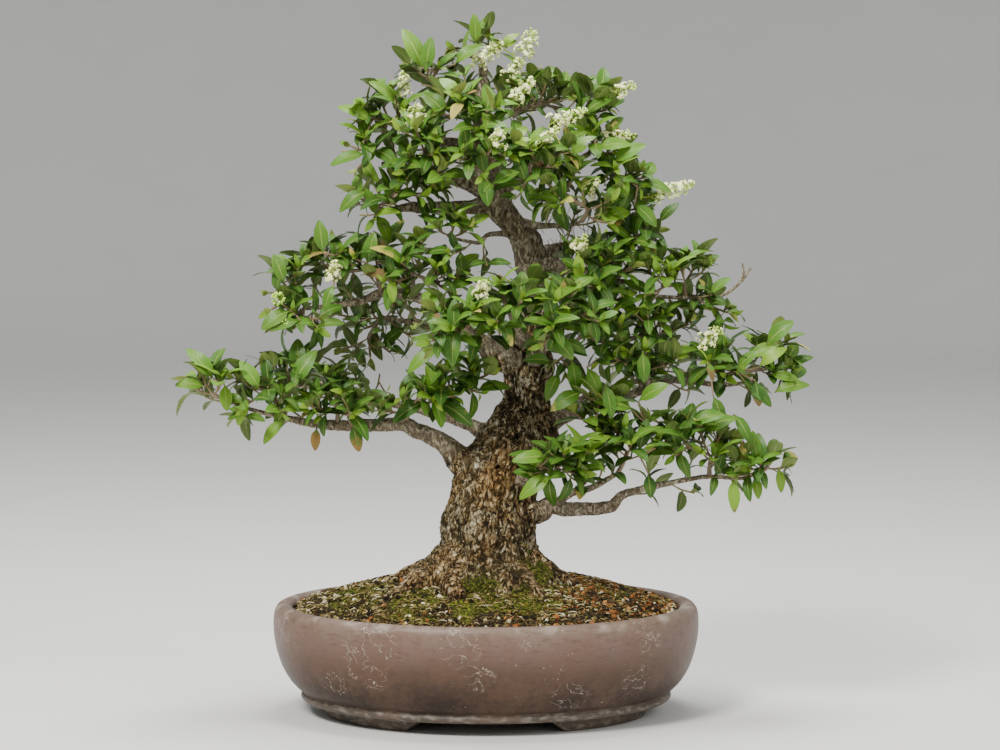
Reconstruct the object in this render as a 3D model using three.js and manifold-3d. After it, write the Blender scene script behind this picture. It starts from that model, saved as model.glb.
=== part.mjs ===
// A flowering Japanese privet bonsai in an oval clay pot.
// Millimetres, +Z up. The pot's centre on its foot plane is the zero of all lists below.
import * as THREE from 'three';
import { mergeVertices } from 'three/addons/utils/BufferGeometryUtils.js';
import Module from 'manifold-3d';

const wasm = await Module();
wasm.setup();

// Driving sizes of the pot: an oval, longer in x than in y.
const POT_HALF_LENGTH = 214.4;
const POT_ROUNDNESS = 0.77;
const POT_HEIGHT = 110;
const POT_FLOOR = 26;
const POT_SIDES = 36;
const FOOT_RADIUS = 158;
const DRAIN_RADIUS = 12.5;
const DRAIN_X = 80;
const SCREEN_SIZE = 36;
const SCREEN_THICKNESS = 1;

// Clearance between neighbouring solids, and the size below which detail is a sliver.
const GAP = 0.45;
const SLIVER = 0.1;

// The soil's top: its radius and height at the wall, and how far it mounds up in the middle.
const SOIL_RADIUS = 193.5;
const SOIL_EDGE = 104;
const SOIL_MOUND = 36;

// Leaves and twigs.
const LEAF_LENGTH = 31;
const LEAF_HALF_WIDTH = 7.6;
const LEAF_THICKNESS = 1.4;
const LEAF_SUNK = 0.35;

// How far leaves turn up from the direction in which they leave their shoot.
const LEAF_LIFT = 0.5;

// Places for leaves on a shoot, from its tip down: which pair and which side of it.
const LEAF_PLACES = [[0, 0], [0, 1], [1, 0], [1, 1]];

// One shoot in this many carries a second leaf.
const SECOND_LEAF_EVERY = 11;
const TWIG_RADIUS = 2;
const SHOOT_RADIUS = 1.15;

// The lists give x and z as seen from the front on the plane y = 0.
// A point at another depth is moved along its line of sight to the viewer.
const VIEW_X = 14;
const VIEW_HEIGHT = 550;
const VIEW_DISTANCE = 2800;

// Trunk: x, y, z and radius of each level, from inside the soil to the top.
const TRUNK = [
  [2, 0, 92, 76], [2, 0, 106, 84], [2, 0, 118, 88], [1, 0, 133, 80], [0.5, 0, 145, 69],
  [0.5, 1, 158, 57], [3, 2, 173, 49], [3, 3, 193, 46.5], [7, 4, 216, 44], [13, 6, 239, 45],
  [23, 8, 261, 46], [31, 10, 272, 43], [34, 11, 288, 36], [38, 12, 307, 27], [40.5, 12, 320, 22.5],
  [43, 12, 347, 26], [40, 10, 369, 27], [46, 8, 392, 21], [50, 4, 415, 15.5], [43, 0, 450, 14.5],
  [42, -2, 469, 15.5], [35, -4, 483, 17], [19, -6, 498, 16.5], [8, -8, 518, 14], [4, -10, 535, 13],
  [-2, -10, 574, 10], [-3, -8, 613, 7], [-3, -4, 648, 3.5],
];

// Root lobes round the trunk's foot: direction in degrees, how far each stands out, its spread.
const ROOTS = [
  [208, 0.34, 20], [250, 0.16, 15], [292, 0.2, 18], [342, 0.3, 20], [22, 0.2, 20], [75, 0.26, 22],
  [128, 0.24, 20], [168, 0.2, 16],
];

// Branches: x, y, z and radius of each point, from the heart of the trunk outwards.
const BRANCHES = {
  lower_left: [
    [6, 2, 240, 10], [-23, -2, 257, 10], [-36, -6, 274, 9.5], [-49, -8, 284, 8.5], [-86, -10, 290, 7.5],
    [-121, -12, 290, 6.5], [-161, -16, 289, 5], [-201, -20, 296, 3], [-240, -24, 306, 2],
    [-269, -27, 317, 1.6],
  ],
  middle_left: [
    [40, 10, 345, 9], [9, 4, 362, 9], [-14, 4, 380, 7], [-38, 6, 402, 6], [-66, 8, 417, 5.5],
    [-96, 6, 422, 5], [-126, 4, 414, 4], [-151, 0, 409, 3], [-184, -4, 406, 1.8],
  ],
  upper_left_low: [
    [14, -7, 508, 7], [-31, -8, 508, 6], [-61, -10, 506, 5.5], [-75, -12, 508, 5], [-100, -14, 504, 2.2],
  ],
  upper_left_high: [
    [5, -9, 524, 7], [-31, -4, 536, 6.5], [-56, 0, 542, 6], [-81, 4, 547, 4.6], [-104, 6, 551, 2],
  ],
  front_left_twig: [[30, -4, 482, 3], [2, -24, 480, 2.4], [-8, -30, 473, 2], [-31, -40, 476, 1.5]],
  right_high: [[42, -1, 456, 6], [74, 8, 468, 4], [109, 14, 476, 3], [140, 18, 480, 2]],
  right_high_front: [[38, -4, 490, 4], [55, -16, 489, 3.2], [80, -32, 488, 2.2], [96, -38, 494, 1.5]],
  right_middle: [
    [46, 0, 440, 6], [65, -4, 450, 6], [100, -10, 439, 5], [121, -12, 432, 4], [137, -14, 443, 2.6],
    [146, -14, 455, 1.6],
  ],
  right_long_twig: [
    [118, -12, 433, 3], [146, -13, 432, 2.6], [163, -14, 424, 2.3], [175, -14, 418, 2.1],
    [227, -16, 418, 1.8], [251, -18, 430, 1.5], [265, -18, 447, 1.2],
  ],
  right_lower: [
    [36, 8, 284, 8], [67, 8, 295, 7], [113, 10, 310, 6], [144, 12, 319, 5], [179, 14, 332, 4],
    [204, 14, 334, 3.5], [234, 14, 329, 2.5], [268, 12, 333, 1.6],
  ],
  right_lowest: [
    [8, -4, 196, 9], [51, -14, 202, 7.5], [64, -16, 208, 6.5], [83, -20, 205, 6], [121, -24, 205, 5.5],
    [140, -26, 218, 4], [179, -30, 230, 3], [217, -32, 237, 2.3], [255, -32, 235, 1.8], [276, -31, 242, 1.5],
  ],
  right_lowest_fork: [[68, -17, 208, 5], [89, -28, 222, 4], [104, -32, 224, 3.5], [132, -40, 240, 2.2]],
  right_lowest_front: [[14, -10, 226, 5], [50, -44, 240, 3.5], [68, -60, 252, 2.2]],
  crown_top_left: [[-3, -8, 600, 5], [-26, -6, 616, 3.4], [-50, -5, 632, 2]],
  crown_left: [[-1, -10, 568, 6], [-36, -8, 572, 4.6], [-64, -6, 580, 3.4], [-88, -4, 588, 2]],
  crown_front_high: [[-2, -10, 572, 5], [-6, -24, 582, 3.6], [-11, -32, 592, 2]],
  crown_front_low: [[4, -9, 536, 5], [2, -30, 540, 3.6], [0, -44, 546, 2]],
  crown_right: [
    [6, -8, 524, 6], [46, -14, 538, 4.6], [86, -14, 549, 3.4], [98, -10, 558, 2.6], [110, -6, 566, 2],
  ],
  crown_right_front: [[40, -12, 536, 3.6], [46, -30, 542, 2.6], [47, -40, 545, 2]],
  crown_right_top: [[-3, -8, 590, 5], [22, -6, 600, 3.6], [46, -4, 608, 2]],
  front_left: [[40, 8, 352, 7], [14, -34, 366, 5], [-8, -70, 380, 3], [-17, -86, 384, 2]],
  front_middle: [[42, 8, 366, 6], [34, -36, 382, 4.4], [26, -72, 398, 2.8], [23, -84, 402, 2]],
  front_right: [[43, 8, 350, 7], [58, -36, 368, 5], [70, -70, 388, 3], [73, -84, 395, 2]],
  back_lower_left: [[28, 12, 268, 8], [-20, 42, 290, 6], [-80, 58, 308, 4.4], [-136, 64, 318, 2.2]],
  back_lower_right: [[34, 14, 286, 8], [80, 44, 306, 6], [130, 60, 326, 4], [170, 68, 340, 2.2]],
  back_middle_left: [[42, 14, 350, 7], [0, 42, 372, 5], [-60, 60, 390, 3.6], [-96, 65, 396, 2]],
  back_middle_right: [[50, 6, 412, 6], [70, 44, 426, 4.4], [90, 76, 440, 2.2]],
  back_high: [[6, -6, 522, 5], [8, 34, 530, 4], [6, 82, 544, 2.2]],
  back_top: [[-2, -8, 584, 5], [0, 24, 594, 3.4], [3, 48, 603, 2]],
};

// Leafy sprays: each fork has a hub and the tips of the shoots that leave it.
// The first hub grows from the nearest wood, a second one from the first.
const SPRAYS = {
  crown_top: [[[-4, -2, 654], [[-10, 2, 674], [16, -10, 666], [-30, -8, 664]]]],
  crown_top_left: [[[-58, -6, 636], [[-62, -4, 660], [-76, 2, 648], [-48, -26, 644], [-40, 12, 655]]]],
  crown_left: [
    [[-98, -4, 592], [[-124, -6, 602], [-108, 4, 622], [-84, -30, 604]]],
    [[-116, 6, 562], [[-134, 4, 568], [-120, -18, 576], [-128, 10, 546]]],
  ],
  crown_left_low: [
    [[-110, -18, 508], [[-128, -14, 518], [-112, -30, 496], [-92, -34, 522]]],
    [[-78, -22, 526], [[-60, -36, 534], [-66, -42, 518], [-44, -26, 524]]],
  ],
  front_left_twig: [[[-38, -44, 480], [[-48, -50, 486], [-30, -54, 496], [-18, -50, 486]]]],
  crown_left_face: [[[-62, -36, 560], [[-70, -54, 584], [-52, -62, 560], [-80, -50, 545], [-44, -56, 536]]]],
  crown_front_high: [[[-12, -40, 600], [[-28, -58, 616], [8, -62, 606], [-44, -52, 600], [-8, -66, 584]]]],
  crown_front_low: [[[0, -54, 552], [[-22, -76, 560], [6, -82, 566], [30, -72, 572], [-4, -78, 538]]]],
  crown_front_right: [[[48, -50, 548], [[44, -74, 566], [66, -66, 548], [36, -72, 528], [82, -60, 566]]]],
  crown_right_top: [
    [[54, -4, 610], [[60, -4, 630], [76, 2, 620], [40, -24, 626], [58, 18, 622]]],
    [[96, -4, 602], [[90, 6, 618], [114, -2, 620], [120, -12, 604], [100, -28, 600]]],
  ],
  crown_right: [
    [[118, -4, 560], [[134, -2, 552], [126, -22, 562], [106, -34, 578]]],
    [[132, -14, 536], [[146, -16, 542], [130, -36, 544], [152, -30, 528]]],
  ],
  right_high_front: [
    [[102, -46, 506], [[122, -56, 514], [96, -60, 524], [120, -50, 492]]],
    [[76, -44, 522], [[88, -58, 540], [62, -58, 530], [74, -62, 510], [56, -44, 514]]],
  ],
  crown_right_low: [
    [[138, 4, 508], [[146, -8, 518], [156, 4, 508], [126, -32, 506], [130, 14, 520]]],
    [[154, 12, 486], [[166, 6, 472], [146, -26, 472], [170, 18, 486]]],
  ],
  crown_back_high: [[[4, 56, 608], [[-26, 74, 622], [22, 76, 628], [50, 64, 604], [-50, 64, 596]]]],
  crown_back_low: [[[6, 92, 548], [[-52, 94, 560], [-2, 116, 556], [52, 102, 552], [10, 108, 526]]]],
  middle_left_tip: [
    [[-188, -6, 396], [[-210, 4, 390], [-192, -24, 402], [-168, -30, 396]]],
    [[-198, -2, 428], [[-208, 0, 442], [-216, -6, 422], [-188, -18, 446], [-214, -12, 406]]],
  ],
  middle_left_top: [
    [[-112, 0, 446], [[-98, -6, 470], [-130, -26, 456], [-114, 20, 468]]],
    [[-158, -2, 446], [[-164, -2, 472], [-146, -22, 460], [-176, 16, 452]]],
  ],
  middle_left_front: [
    [[-74, -34, 442], [[-84, -54, 452], [-64, -30, 472], [-98, -50, 434]]],
    [[-46, -32, 432], [[-50, -52, 446], [-26, -38, 440], [-36, -44, 424]]],
  ],
  middle_left_back: [
    [[-104, 68, 398], [[-122, 84, 386], [-76, 98, 378], [-148, 66, 400], [-90, 78, 416]]],
    [[-118, 62, 376], [[-142, 60, 366], [-116, 72, 358], [-96, 62, 362]]],
  ],
  lower_left_tip: [[[-276, -28, 322], [[-284, -26, 338], [-296, -22, 328], [-266, -40, 336]]]],
  lower_left_middle: [
    [[-196, -8, 326], [[-208, 2, 350], [-188, -20, 348], [-176, 22, 348]]],
    [[-228, -24, 326], [[-242, -22, 338], [-220, -10, 346], [-246, -40, 308], [-206, -42, 302]]],
  ],
  lower_left_inner: [
    [
      [-150, -22, 314],
      [[-158, -26, 336], [-146, -8, 340], [-126, -34, 316], [-176, -42, 308], [-134, -46, 300]],
    ],
  ],
  lower_left_near: [
    [[-78, -22, 306], [[-84, -36, 314], [-62, -44, 326], [-98, -24, 304]]],
    [[-50, -30, 326], [[-40, -40, 340], [-32, -42, 318], [-52, -48, 314]]],
    [[-18, -20, 332], [[-14, -30, 346], [2, -24, 340], [-8, -34, 322]]],
  ],
  lower_left_back: [[[-146, 68, 324], [[-154, 92, 328], [-198, 64, 332], [-102, 98, 322]]]],
  front_left: [[[-22, -96, 388], [[-54, -116, 374], [-34, -128, 386], [-12, -122, 402], [-52, -96, 402]]]],
  front_middle: [[[22, -92, 408], [[14, -112, 428], [36, -122, 414], [10, -124, 392], [46, -90, 432]]]],
  front_right: [
    [[74, -92, 400], [[70, -120, 412], [88, -110, 422], [66, -126, 388], [102, -100, 402], [58, -114, 372]]],
  ],
  right_middle: [
    [[116, -36, 440], [[100, -60, 452], [126, -52, 458], [146, -40, 448], [112, -70, 430]]],
    [[112, -30, 406], [[92, -46, 412], [126, -48, 404], [140, -30, 416]]],
    [[88, -16, 372], [[72, -24, 376], [104, -32, 384], [70, -30, 352]]],
  ],
  right_middle_tip: [
    [[200, -14, 432], [[194, -12, 452], [212, -4, 456], [224, -22, 408], [242, -20, 402]]],
    [[176, -22, 430], [[162, -30, 446], [184, -36, 442], [162, -36, 420]]],
  ],
  right_middle_back: [[[96, 84, 446], [[80, 108, 456], [120, 96, 462], [140, 76, 440]]]],
  right_lower_tip: [
    [[236, -2, 346], [[240, -12, 366], [224, -28, 352], [252, -24, 344]]],
    [[282, 14, 346], [[278, 20, 372], [292, 16, 374], [302, 12, 352], [306, 6, 334]]],
  ],
  right_lower_middle: [
    [[156, -30, 348], [[130, -52, 356], [160, -48, 362], [190, -38, 356], [176, 10, 372]]],
    [[168, -16, 386], [[150, -42, 400], [176, -32, 396], [202, 0, 392]]],
    [[126, -36, 370], [[106, -50, 376], [114, -50, 356], [134, -50, 388]]],
  ],
  right_lower_back: [[[178, 72, 346], [[182, 94, 352], [230, 72, 346], [132, 100, 350]]]],
  right_lowest_front: [
    [[74, -66, 242], [[54, -88, 248], [60, -86, 232], [78, -98, 260], [102, -88, 262], [96, -80, 240]]],
  ],
  right_lowest_middle: [
    [[142, -46, 262], [[130, -62, 286], [162, -56, 290], [146, -76, 270], [186, -52, 276]]],
    [[108, -50, 286], [[88, -60, 302], [114, -64, 312], [128, -54, 318]]],
  ],
  right_lowest_outer: [
    [[226, -36, 258], [[216, -42, 280], [236, -36, 280], [250, -30, 268], [232, -52, 258]]],
    [[198, -42, 272], [[184, -50, 294], [202, -58, 292], [190, -58, 258]]],
  ],
  right_lowest_tip: [[[284, -31, 248], [[288, -30, 256], [300, -26, 246], [274, -42, 250], [254, -48, 238]]]],
};

// Flower panicles: start, tip and half-width of each. The stalk grows from the nearest twig.
const BLOOMS = {
  top_long: [[-14, -20, 648], [14, -24, 668], 9],
  top_upright: [[36, -8, 654], [48, -10, 686], 9],
  top_low: [[20, -14, 634], [34, -18, 652], 7],
  top_below: [[26, -40, 612], [46, -46, 632], 8],
  left_slender: [[-80, -18, 616], [-82, -20, 640], 5],
  left_round: [[-70, -40, 592], [-69, -50, 609], 10],
  front_small: [[10, -84, 566], [14, -94, 581], 8],
  front_right_small: [[54, -66, 568], [70, -72, 583], 7],
  front_right_long: [[64, -46, 590], [97, -50, 602], 7],
  right_high_long: [[118, -8, 616], [147, -10, 628], 7],
  right_long: [[113, -22, 574], [146, -24, 580], 6],
  right_small: [[100, -42, 520], [110, -50, 531], 6],
  right_longest: [[163, -8, 518], [205, -10, 529], 9],
  centre_small: [[90, -54, 462], [98, -62, 477], 7],
  left_small: [[-153, -26, 434], [-150, -34, 450], 8],
  centre_front: [[-4, -112, 416], [-2, -122, 431], 8],
  right_lower: [[214, -36, 368], [232, -40, 384], 9],
  back_top: [[38, 88, 606], [44, 102, 624], 8],
};

// Where a listed point lies in space.
function placed([x, y, z]) {
  const stretch = 1 + y / VIEW_DISTANCE;
  return new THREE.Vector3(
    VIEW_X + (x - VIEW_X) * stretch, y, VIEW_HEIGHT + (z - VIEW_HEIGHT) * stretch);
}

// An even draw between 0 and 1 that is the same in every run.
function draw(seed, index) {
  const wave = Math.sin(seed * 12.9898 + index * 78.233) * 43758.5453;
  return wave - Math.floor(wave);
}

function blend(a, b, t) {
  return a + (b - a) * t;
}

// A three.js shape as a closed solid for joining and cutting.
function solid(geometry) {
  const bare = new THREE.BufferGeometry();
  bare.setAttribute('position', geometry.getAttribute('position'));
  bare.setIndex(geometry.getIndex());
  const merged = mergeVertices(bare, 1e-3);
  const index = merged.getIndex().array;
  const corners = [];
  for (let i = 0; i < index.length; i += 3) {
    const [a, b, c] = [index[i], index[i + 1], index[i + 2]];
    if (a !== b && b !== c && c !== a) {
      corners.push(a, b, c);
    }
  }
  return new wasm.Manifold(new wasm.Mesh({
    numProp: 3,
    vertProperties: new Float32Array(merged.getAttribute('position').array),
    triVerts: new Uint32Array(corners),
  }));
}

function joined(solids) {
  return solids.reduce((sum, one) => sum.add(one));
}

// The biggest connected piece of a solid. Loose scraps are dropped.
function biggest(body) {
  return body.decompose().reduce((best, one) => (one.volume() > best.volume() ? one : best));
}

function overlaps(first, second) {
  const a = first.boundingBox();
  const b = second.boundingBox();
  for (let axis = 0; axis < 3; axis += 1) {
    if (a.min[axis] > b.max[axis] || b.min[axis] > a.max[axis]) {
      return false;
    }
  }
  return first.intersect(second).volume() > 1e-4;
}

// A named mesh with its own material from a solid, without the slivers that joining leaves.
function part(name, body, colour, roughness) {
  const mesh = biggest(body.simplify(SLIVER)).getMesh();
  const geometry = new THREE.BufferGeometry();
  geometry.setAttribute('position', new THREE.BufferAttribute(new Float32Array(mesh.vertProperties), 3));
  geometry.setIndex(new THREE.BufferAttribute(new Uint32Array(mesh.triVerts), 1));
  geometry.computeVertexNormals();
  const made = new THREE.Mesh(geometry, new THREE.MeshStandardMaterial({ color: colour, roughness }));
  made.name = name;
  return made;
}

// Moves every vertex of a shape with a rule.
function bent(geometry, rule) {
  const position = geometry.getAttribute('position');
  const vertex = new THREE.Vector3();
  for (let i = 0; i < position.count; i += 1) {
    vertex.fromBufferAttribute(position, i);
    const moved = rule(vertex);
    position.setXYZ(i, moved.x, moved.y, moved.z);
  }
  return geometry;
}

// Two directions square to a line at each of its points, carried along without twist.
function frames(points) {
  const last = points.length - 1;
  let side = new THREE.Vector3(0, 0, 1);
  return points.map((point, i) => {
    const along = points[Math.min(i + 1, last)].clone().sub(points[Math.max(i - 1, 0)]).normalize();
    side = side.clone().addScaledVector(along, -side.dot(along));
    if (side.length() < 1e-3) {
      side = new THREE.Vector3(1, 0, 0).addScaledVector(along, -along.x);
    }
    side.normalize();
    return { side, across: along.clone().cross(side) };
  });
}

// A stick with flat sides along points, each with its own radius.
function stick(points, radii, sides) {
  const levels = points.length - 1;
  const turned = frames(points);
  const shape = new THREE.CylinderGeometry(1, 1, 1, sides, levels);
  return solid(bent(shape, (v) => {
    const level = Math.round((v.y + 0.5) * levels);
    const { side, across } = turned[level];
    return points[level].clone()
      .addScaledVector(side, v.z * radii[level])
      .addScaledVector(across, v.x * radii[level]);
  }));
}

// The pot: an oval lathe shape with a bead above four feet and two drain holes.
function potSolid() {
  const profile = [
    [0, 15], [170, 14.5], [183, 13.5], [186.6, 17], [184.6, 21], [190.4, 26], [198, 34.3],
    [205.2, 46.5], [210.4, 61], [POT_HALF_LENGTH, 84], [213.4, 101], [206.5, POT_HEIGHT],
    [197, POT_HEIGHT], [192.5, 94], [191, 64], [180, 40], [141, POT_FLOOR], [0, POT_FLOOR],
  ].map(([radius, height]) => new THREE.Vector2(radius, height));
  const bowl = new THREE.LatheGeometry(profile, POT_SIDES).rotateX(Math.PI / 2);
  const feet = [40, 140, 220, 320].map(footSolid);
  const holes = [-DRAIN_X, DRAIN_X].map((x) => solid(
    new THREE.CylinderGeometry(DRAIN_RADIUS, DRAIN_RADIUS, 30, 20).rotateX(Math.PI / 2).translate(x, 0, 20)));
  const body = joined([solid(bent(bowl, (v) => new THREE.Vector3(v.x, v.y * POT_ROUNDNESS, v.z))), ...feet]);
  return body.subtract(joined(holes));
}

// One foot: a bar that follows the oval, wider at its top than on the ground.
function footSolid(middleDegrees) {
  const shape = new THREE.BoxGeometry(1, 1, 1, 6, 1, 1);
  return solid(bent(shape, (v) => {
    const lift = v.z + 0.5;
    const angle = THREE.MathUtils.degToRad(middleDegrees - v.x * blend(43, 59.6, lift));
    const radius = FOOT_RADIUS + v.y * blend(16, 22, lift);
    return new THREE.Vector3(
      radius * Math.cos(angle), radius * Math.sin(angle) * POT_ROUNDNESS, lift * 17);
  }));
}

// One drain screen: a thin square of open mesh that lies over a drain hole.
function screenSolid(x) {
  const height = POT_FLOOR + GAP + SCREEN_THICKNESS / 2;
  const sheet = new THREE.BoxGeometry(SCREEN_SIZE, SCREEN_SIZE, SCREEN_THICKNESS);
  const plate = solid(sheet.translate(x, 0, height));
  const openings = [];
  for (const column of [-8, 8]) {
    for (const row of [-8, 8]) {
      openings.push(solid(new THREE.BoxGeometry(13, 13, 3).translate(x + column, row, height)));
    }
  }
  return plate.subtract(joined(openings));
}

// The soil: it fills the pot and mounds up round the trunk.
function soilSolid(wood) {
  const brim = [SOIL_RADIUS, SOIL_EDGE - POT_FLOOR];
  const under = [[0, 0], [140, 0], [179, 14.2], [190, 38.2], [191.5, 68], brim];
  const profile = under.map(([radius, height]) => new THREE.Vector2(radius, POT_FLOOR + GAP + height));
  for (const share of [0.86, 0.7, 0.54, 0.36, 0]) {
    const height = SOIL_EDGE + SOIL_MOUND * (1 - share * share) ** 0.9;
    profile.push(new THREE.Vector2(SOIL_RADIUS * share, height));
  }
  const mound = new THREE.LatheGeometry(profile, POT_SIDES).rotateX(Math.PI / 2);
  const cover = SCREEN_SIZE + 2 * GAP;
  const beds = [-DRAIN_X, DRAIN_X].map((x) => solid(
    new THREE.BoxGeometry(cover, cover, 2 * GAP + 2 * SCREEN_THICKNESS).translate(x, 0, POT_FLOOR + GAP)));
  const body = solid(bent(mound, (v) => new THREE.Vector3(v.x, v.y * (POT_ROUNDNESS - 0.003), v.z)));
  return biggest(body.subtract(joined([wood, ...beds])));
}

// How far the root lobes push the trunk's surface out in one direction.
function rootSwell(angle, height) {
  const reach = THREE.MathUtils.smoothstep(190 - height, 0, 75);
  const swell = ROOTS.reduce((sum, [direction, amount, spread]) => {
    const apart = Math.atan2(
      Math.sin(angle - THREE.MathUtils.degToRad(direction)),
      Math.cos(angle - THREE.MathUtils.degToRad(direction)));
    return sum + amount * Math.exp(-((THREE.MathUtils.radToDeg(apart) / spread) ** 2));
  }, -0.12);
  return 1 + swell * reach;
}

function trunkSolid(extra) {
  const levels = TRUNK.length - 1;
  const shape = new THREE.CylinderGeometry(1, 1, 1, 14, levels);
  return solid(bent(shape, (v) => {
    const [x, y, z, radius] = TRUNK[Math.round((v.y + 0.5) * levels)];
    const angle = Math.atan2(-v.z, v.x);
    const grown = radius * rootSwell(angle, z) + extra;
    const end = z === TRUNK[0][2] ? -extra : 0;
    return new THREE.Vector3(x + v.x * grown, y - v.z * grown, z + end);
  }));
}

// Trunk and branches as one solid. The extra radius makes the same wood a little fatter.
function woodSolid(extra) {
  const branches = Object.values(BRANCHES).map((rows) => {
    const sides = rows[0][3] > 5.5 ? 5 : 4;
    return stick(rows.map(placed), rows.map((row) => row[3] + extra), sides);
  });
  return joined([trunkSolid(extra), ...branches]);
}

// All lines of wood or twig as short pieces: start, end and the radius there.
function segments(lines) {
  return lines.flatMap(({ points, radii }) => points.slice(1).map((end, i) => ({
    start: points[i], end, radius: Math.max(radii[i], radii[i + 1]),
  })));
}

// The nearest place on a set of pieces to a point.
function nearest(point, pieces) {
  let best = { distance: Infinity };
  for (const { start, end, radius } of pieces) {
    const at = new THREE.Line3(start, end).closestPointToPoint(point, true, new THREE.Vector3());
    const distance = at.distanceTo(point);
    if (distance < best.distance) {
      best = { distance, at, radius };
    }
  }
  return best;
}

// One twig as a line of points that rises towards its end, with its radii.
function twigLine(start, end, radius, footRadius, seed) {
  const span = start.distanceTo(end);
  const middle = start.clone().lerp(end, 0.5);
  middle.x += (draw(seed, 1) - 0.5) * 0.16 * span;
  middle.y += (draw(seed, 2) - 0.5) * 0.16 * span;
  middle.z -= 0.05 * span;
  return { points: [start, middle, end], radii: [footRadius, radius * 1.1, radius] };
}

// A twig without its bend. The middle of the bend still says which way the tip points.
function straight({ points: [start, middle, end], radii }) {
  return { points: [start, end], radii: [radii[0], radii[2]], middle };
}

// The twigs of one spray: a stem for every hub and a shoot for every tip.
function sprayLines(forks, wood, seed) {
  const stems = [];
  const shoots = [];
  let from = null;
  forks.forEach(([hubRow, tipRows], fork) => {
    const hub = placed(hubRow);
    if (from === null) {
      const root = nearest(hub, wood);
      const out = hub.clone().sub(root.at).normalize();
      const clear = root.radius + 6;
      if (root.distance < clear) {
        hub.copy(root.at).addScaledVector(out, clear);
      }
      from = root.at;
    }
    const footRadius = TWIG_RADIUS * (fork === 0 ? 1.2 : 0.5);
    const stem = twigLine(from, hub, TWIG_RADIUS, footRadius, seed + fork);
    stems.push(stem);
    tipRows.forEach((row, i) => {
      const bend = stem.points[1];
      const start = hub.clone().lerp(bend, Math.min(0.95, (1 + 3 * i) / hub.distanceTo(bend)));
      shoots.push(straight(twigLine(start, placed(row), SHOOT_RADIUS, 0.6, seed + 10 * fork + i + 2)));
    });
    from = hub;
  });
  return { stems, shoots };
}

// Where a leaf sits: its foot on the shoot, the way it points and the way its face looks.
function leafPlace(shoot, seed, pair, which) {
  const { middle, points: [, tip] } = shoot;
  const along = tip.clone().sub(middle).normalize();
  const level = new THREE.Vector3(0, 0, 1).cross(along);
  const side = (level.length() < 0.1 ? new THREE.Vector3(1, 0, 0) : level).normalize();
  const over = along.clone().cross(side);
  const turn = Math.PI * (0.5 * pair + which) + (draw(seed, 3) - 0.5) * 0.9;
  const open = 0.7 + 0.32 * pair + 0.35 * draw(seed, 10 + 2 * pair + which);
  const out = side.clone().multiplyScalar(Math.cos(turn)).addScaledVector(over, Math.sin(turn));
  const way = along.clone().multiplyScalar(Math.cos(open)).addScaledVector(out, Math.sin(open));
  way.z += LEAF_LIFT;
  way.normalize();
  const face = new THREE.Vector3(0, 0, 0.9).addScaledVector(along, 0.6).addScaledVector(out, -0.25);
  face.addScaledVector(way, -face.dot(way)).normalize();
  const back = 2 + 9 * pair + 2.6 * which;
  const foot = tip.clone().addScaledVector(along, -Math.min(back, 0.9 * tip.distanceTo(middle)));
  const size = 0.84 + 0.3 * draw(seed, 20 + 2 * pair + which);
  return { foot, way, face, size };
}

// The blade's rings: share of its length and half-width of each.
const BLADE = [[0.38, LEAF_HALF_WIDTH], [0.7, LEAF_HALF_WIDTH * 0.76], [1, 0]];

// A three-sided body that runs through given rings, flat on top with a keel underneath.
function bladeBody(rings, { way, face }) {
  const across = way.clone().cross(face);
  const last = rings.length - 1;
  const shape = new THREE.ConeGeometry(1, 1, 3, last);
  return solid(bent(shape, (v) => {
    const { at, width, top, keel } = rings[Math.round((v.y + 0.5) * last)];
    if (width === 0 || Math.hypot(v.x, v.z) < 1e-6) {
      return at.clone();
    }
    const role = Math.round((Math.atan2(v.x, v.z) / (2 * Math.PI)) * 3 + 3) % 3;
    return at.clone()
      .addScaledVector(across, [0, -1, 1][role] * width)
      .addScaledVector(face, role === 0 ? -keel : top);
  }));
}

// The rings of one arching blade.
function bladeRings({ foot, way, face, size }, extra) {
  const length = LEAF_LENGTH * size;
  return BLADE.map(([share, width]) => {
    const rise = length * (0.3 * share - 0.42 * share * share);
    return {
      at: foot.clone().addScaledVector(way, share * length).addScaledVector(face, rise),
      width: width === 0 ? 0 : width * size + extra,
      top: LEAF_THICKNESS * 0.4 + extra,
      keel: LEAF_THICKNESS * 0.6 + extra,
    };
  });
}

// A leaf on the side of a shoot: its pointed base is sunk into the twig.
function leafSolid(place, extra) {
  const base = { at: place.foot.clone().addScaledVector(place.way, -LEAF_SUNK), width: 0 };
  return bladeBody([base, ...bladeRings(place, extra)], place);
}

// A shoot that runs on into its end leaf.
function shootSolid(shoot, place, extra) {
  const twig = shoot.points.map((at, i) => {
    const radius = shoot.radii[i] + extra;
    return { at, width: 0.87 * radius, top: 0.5 * radius, keel: radius };
  });
  return bladeBody([...twig, ...bladeRings({ ...place, foot: shoot.points[1] }, extra)], place);
}

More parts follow.
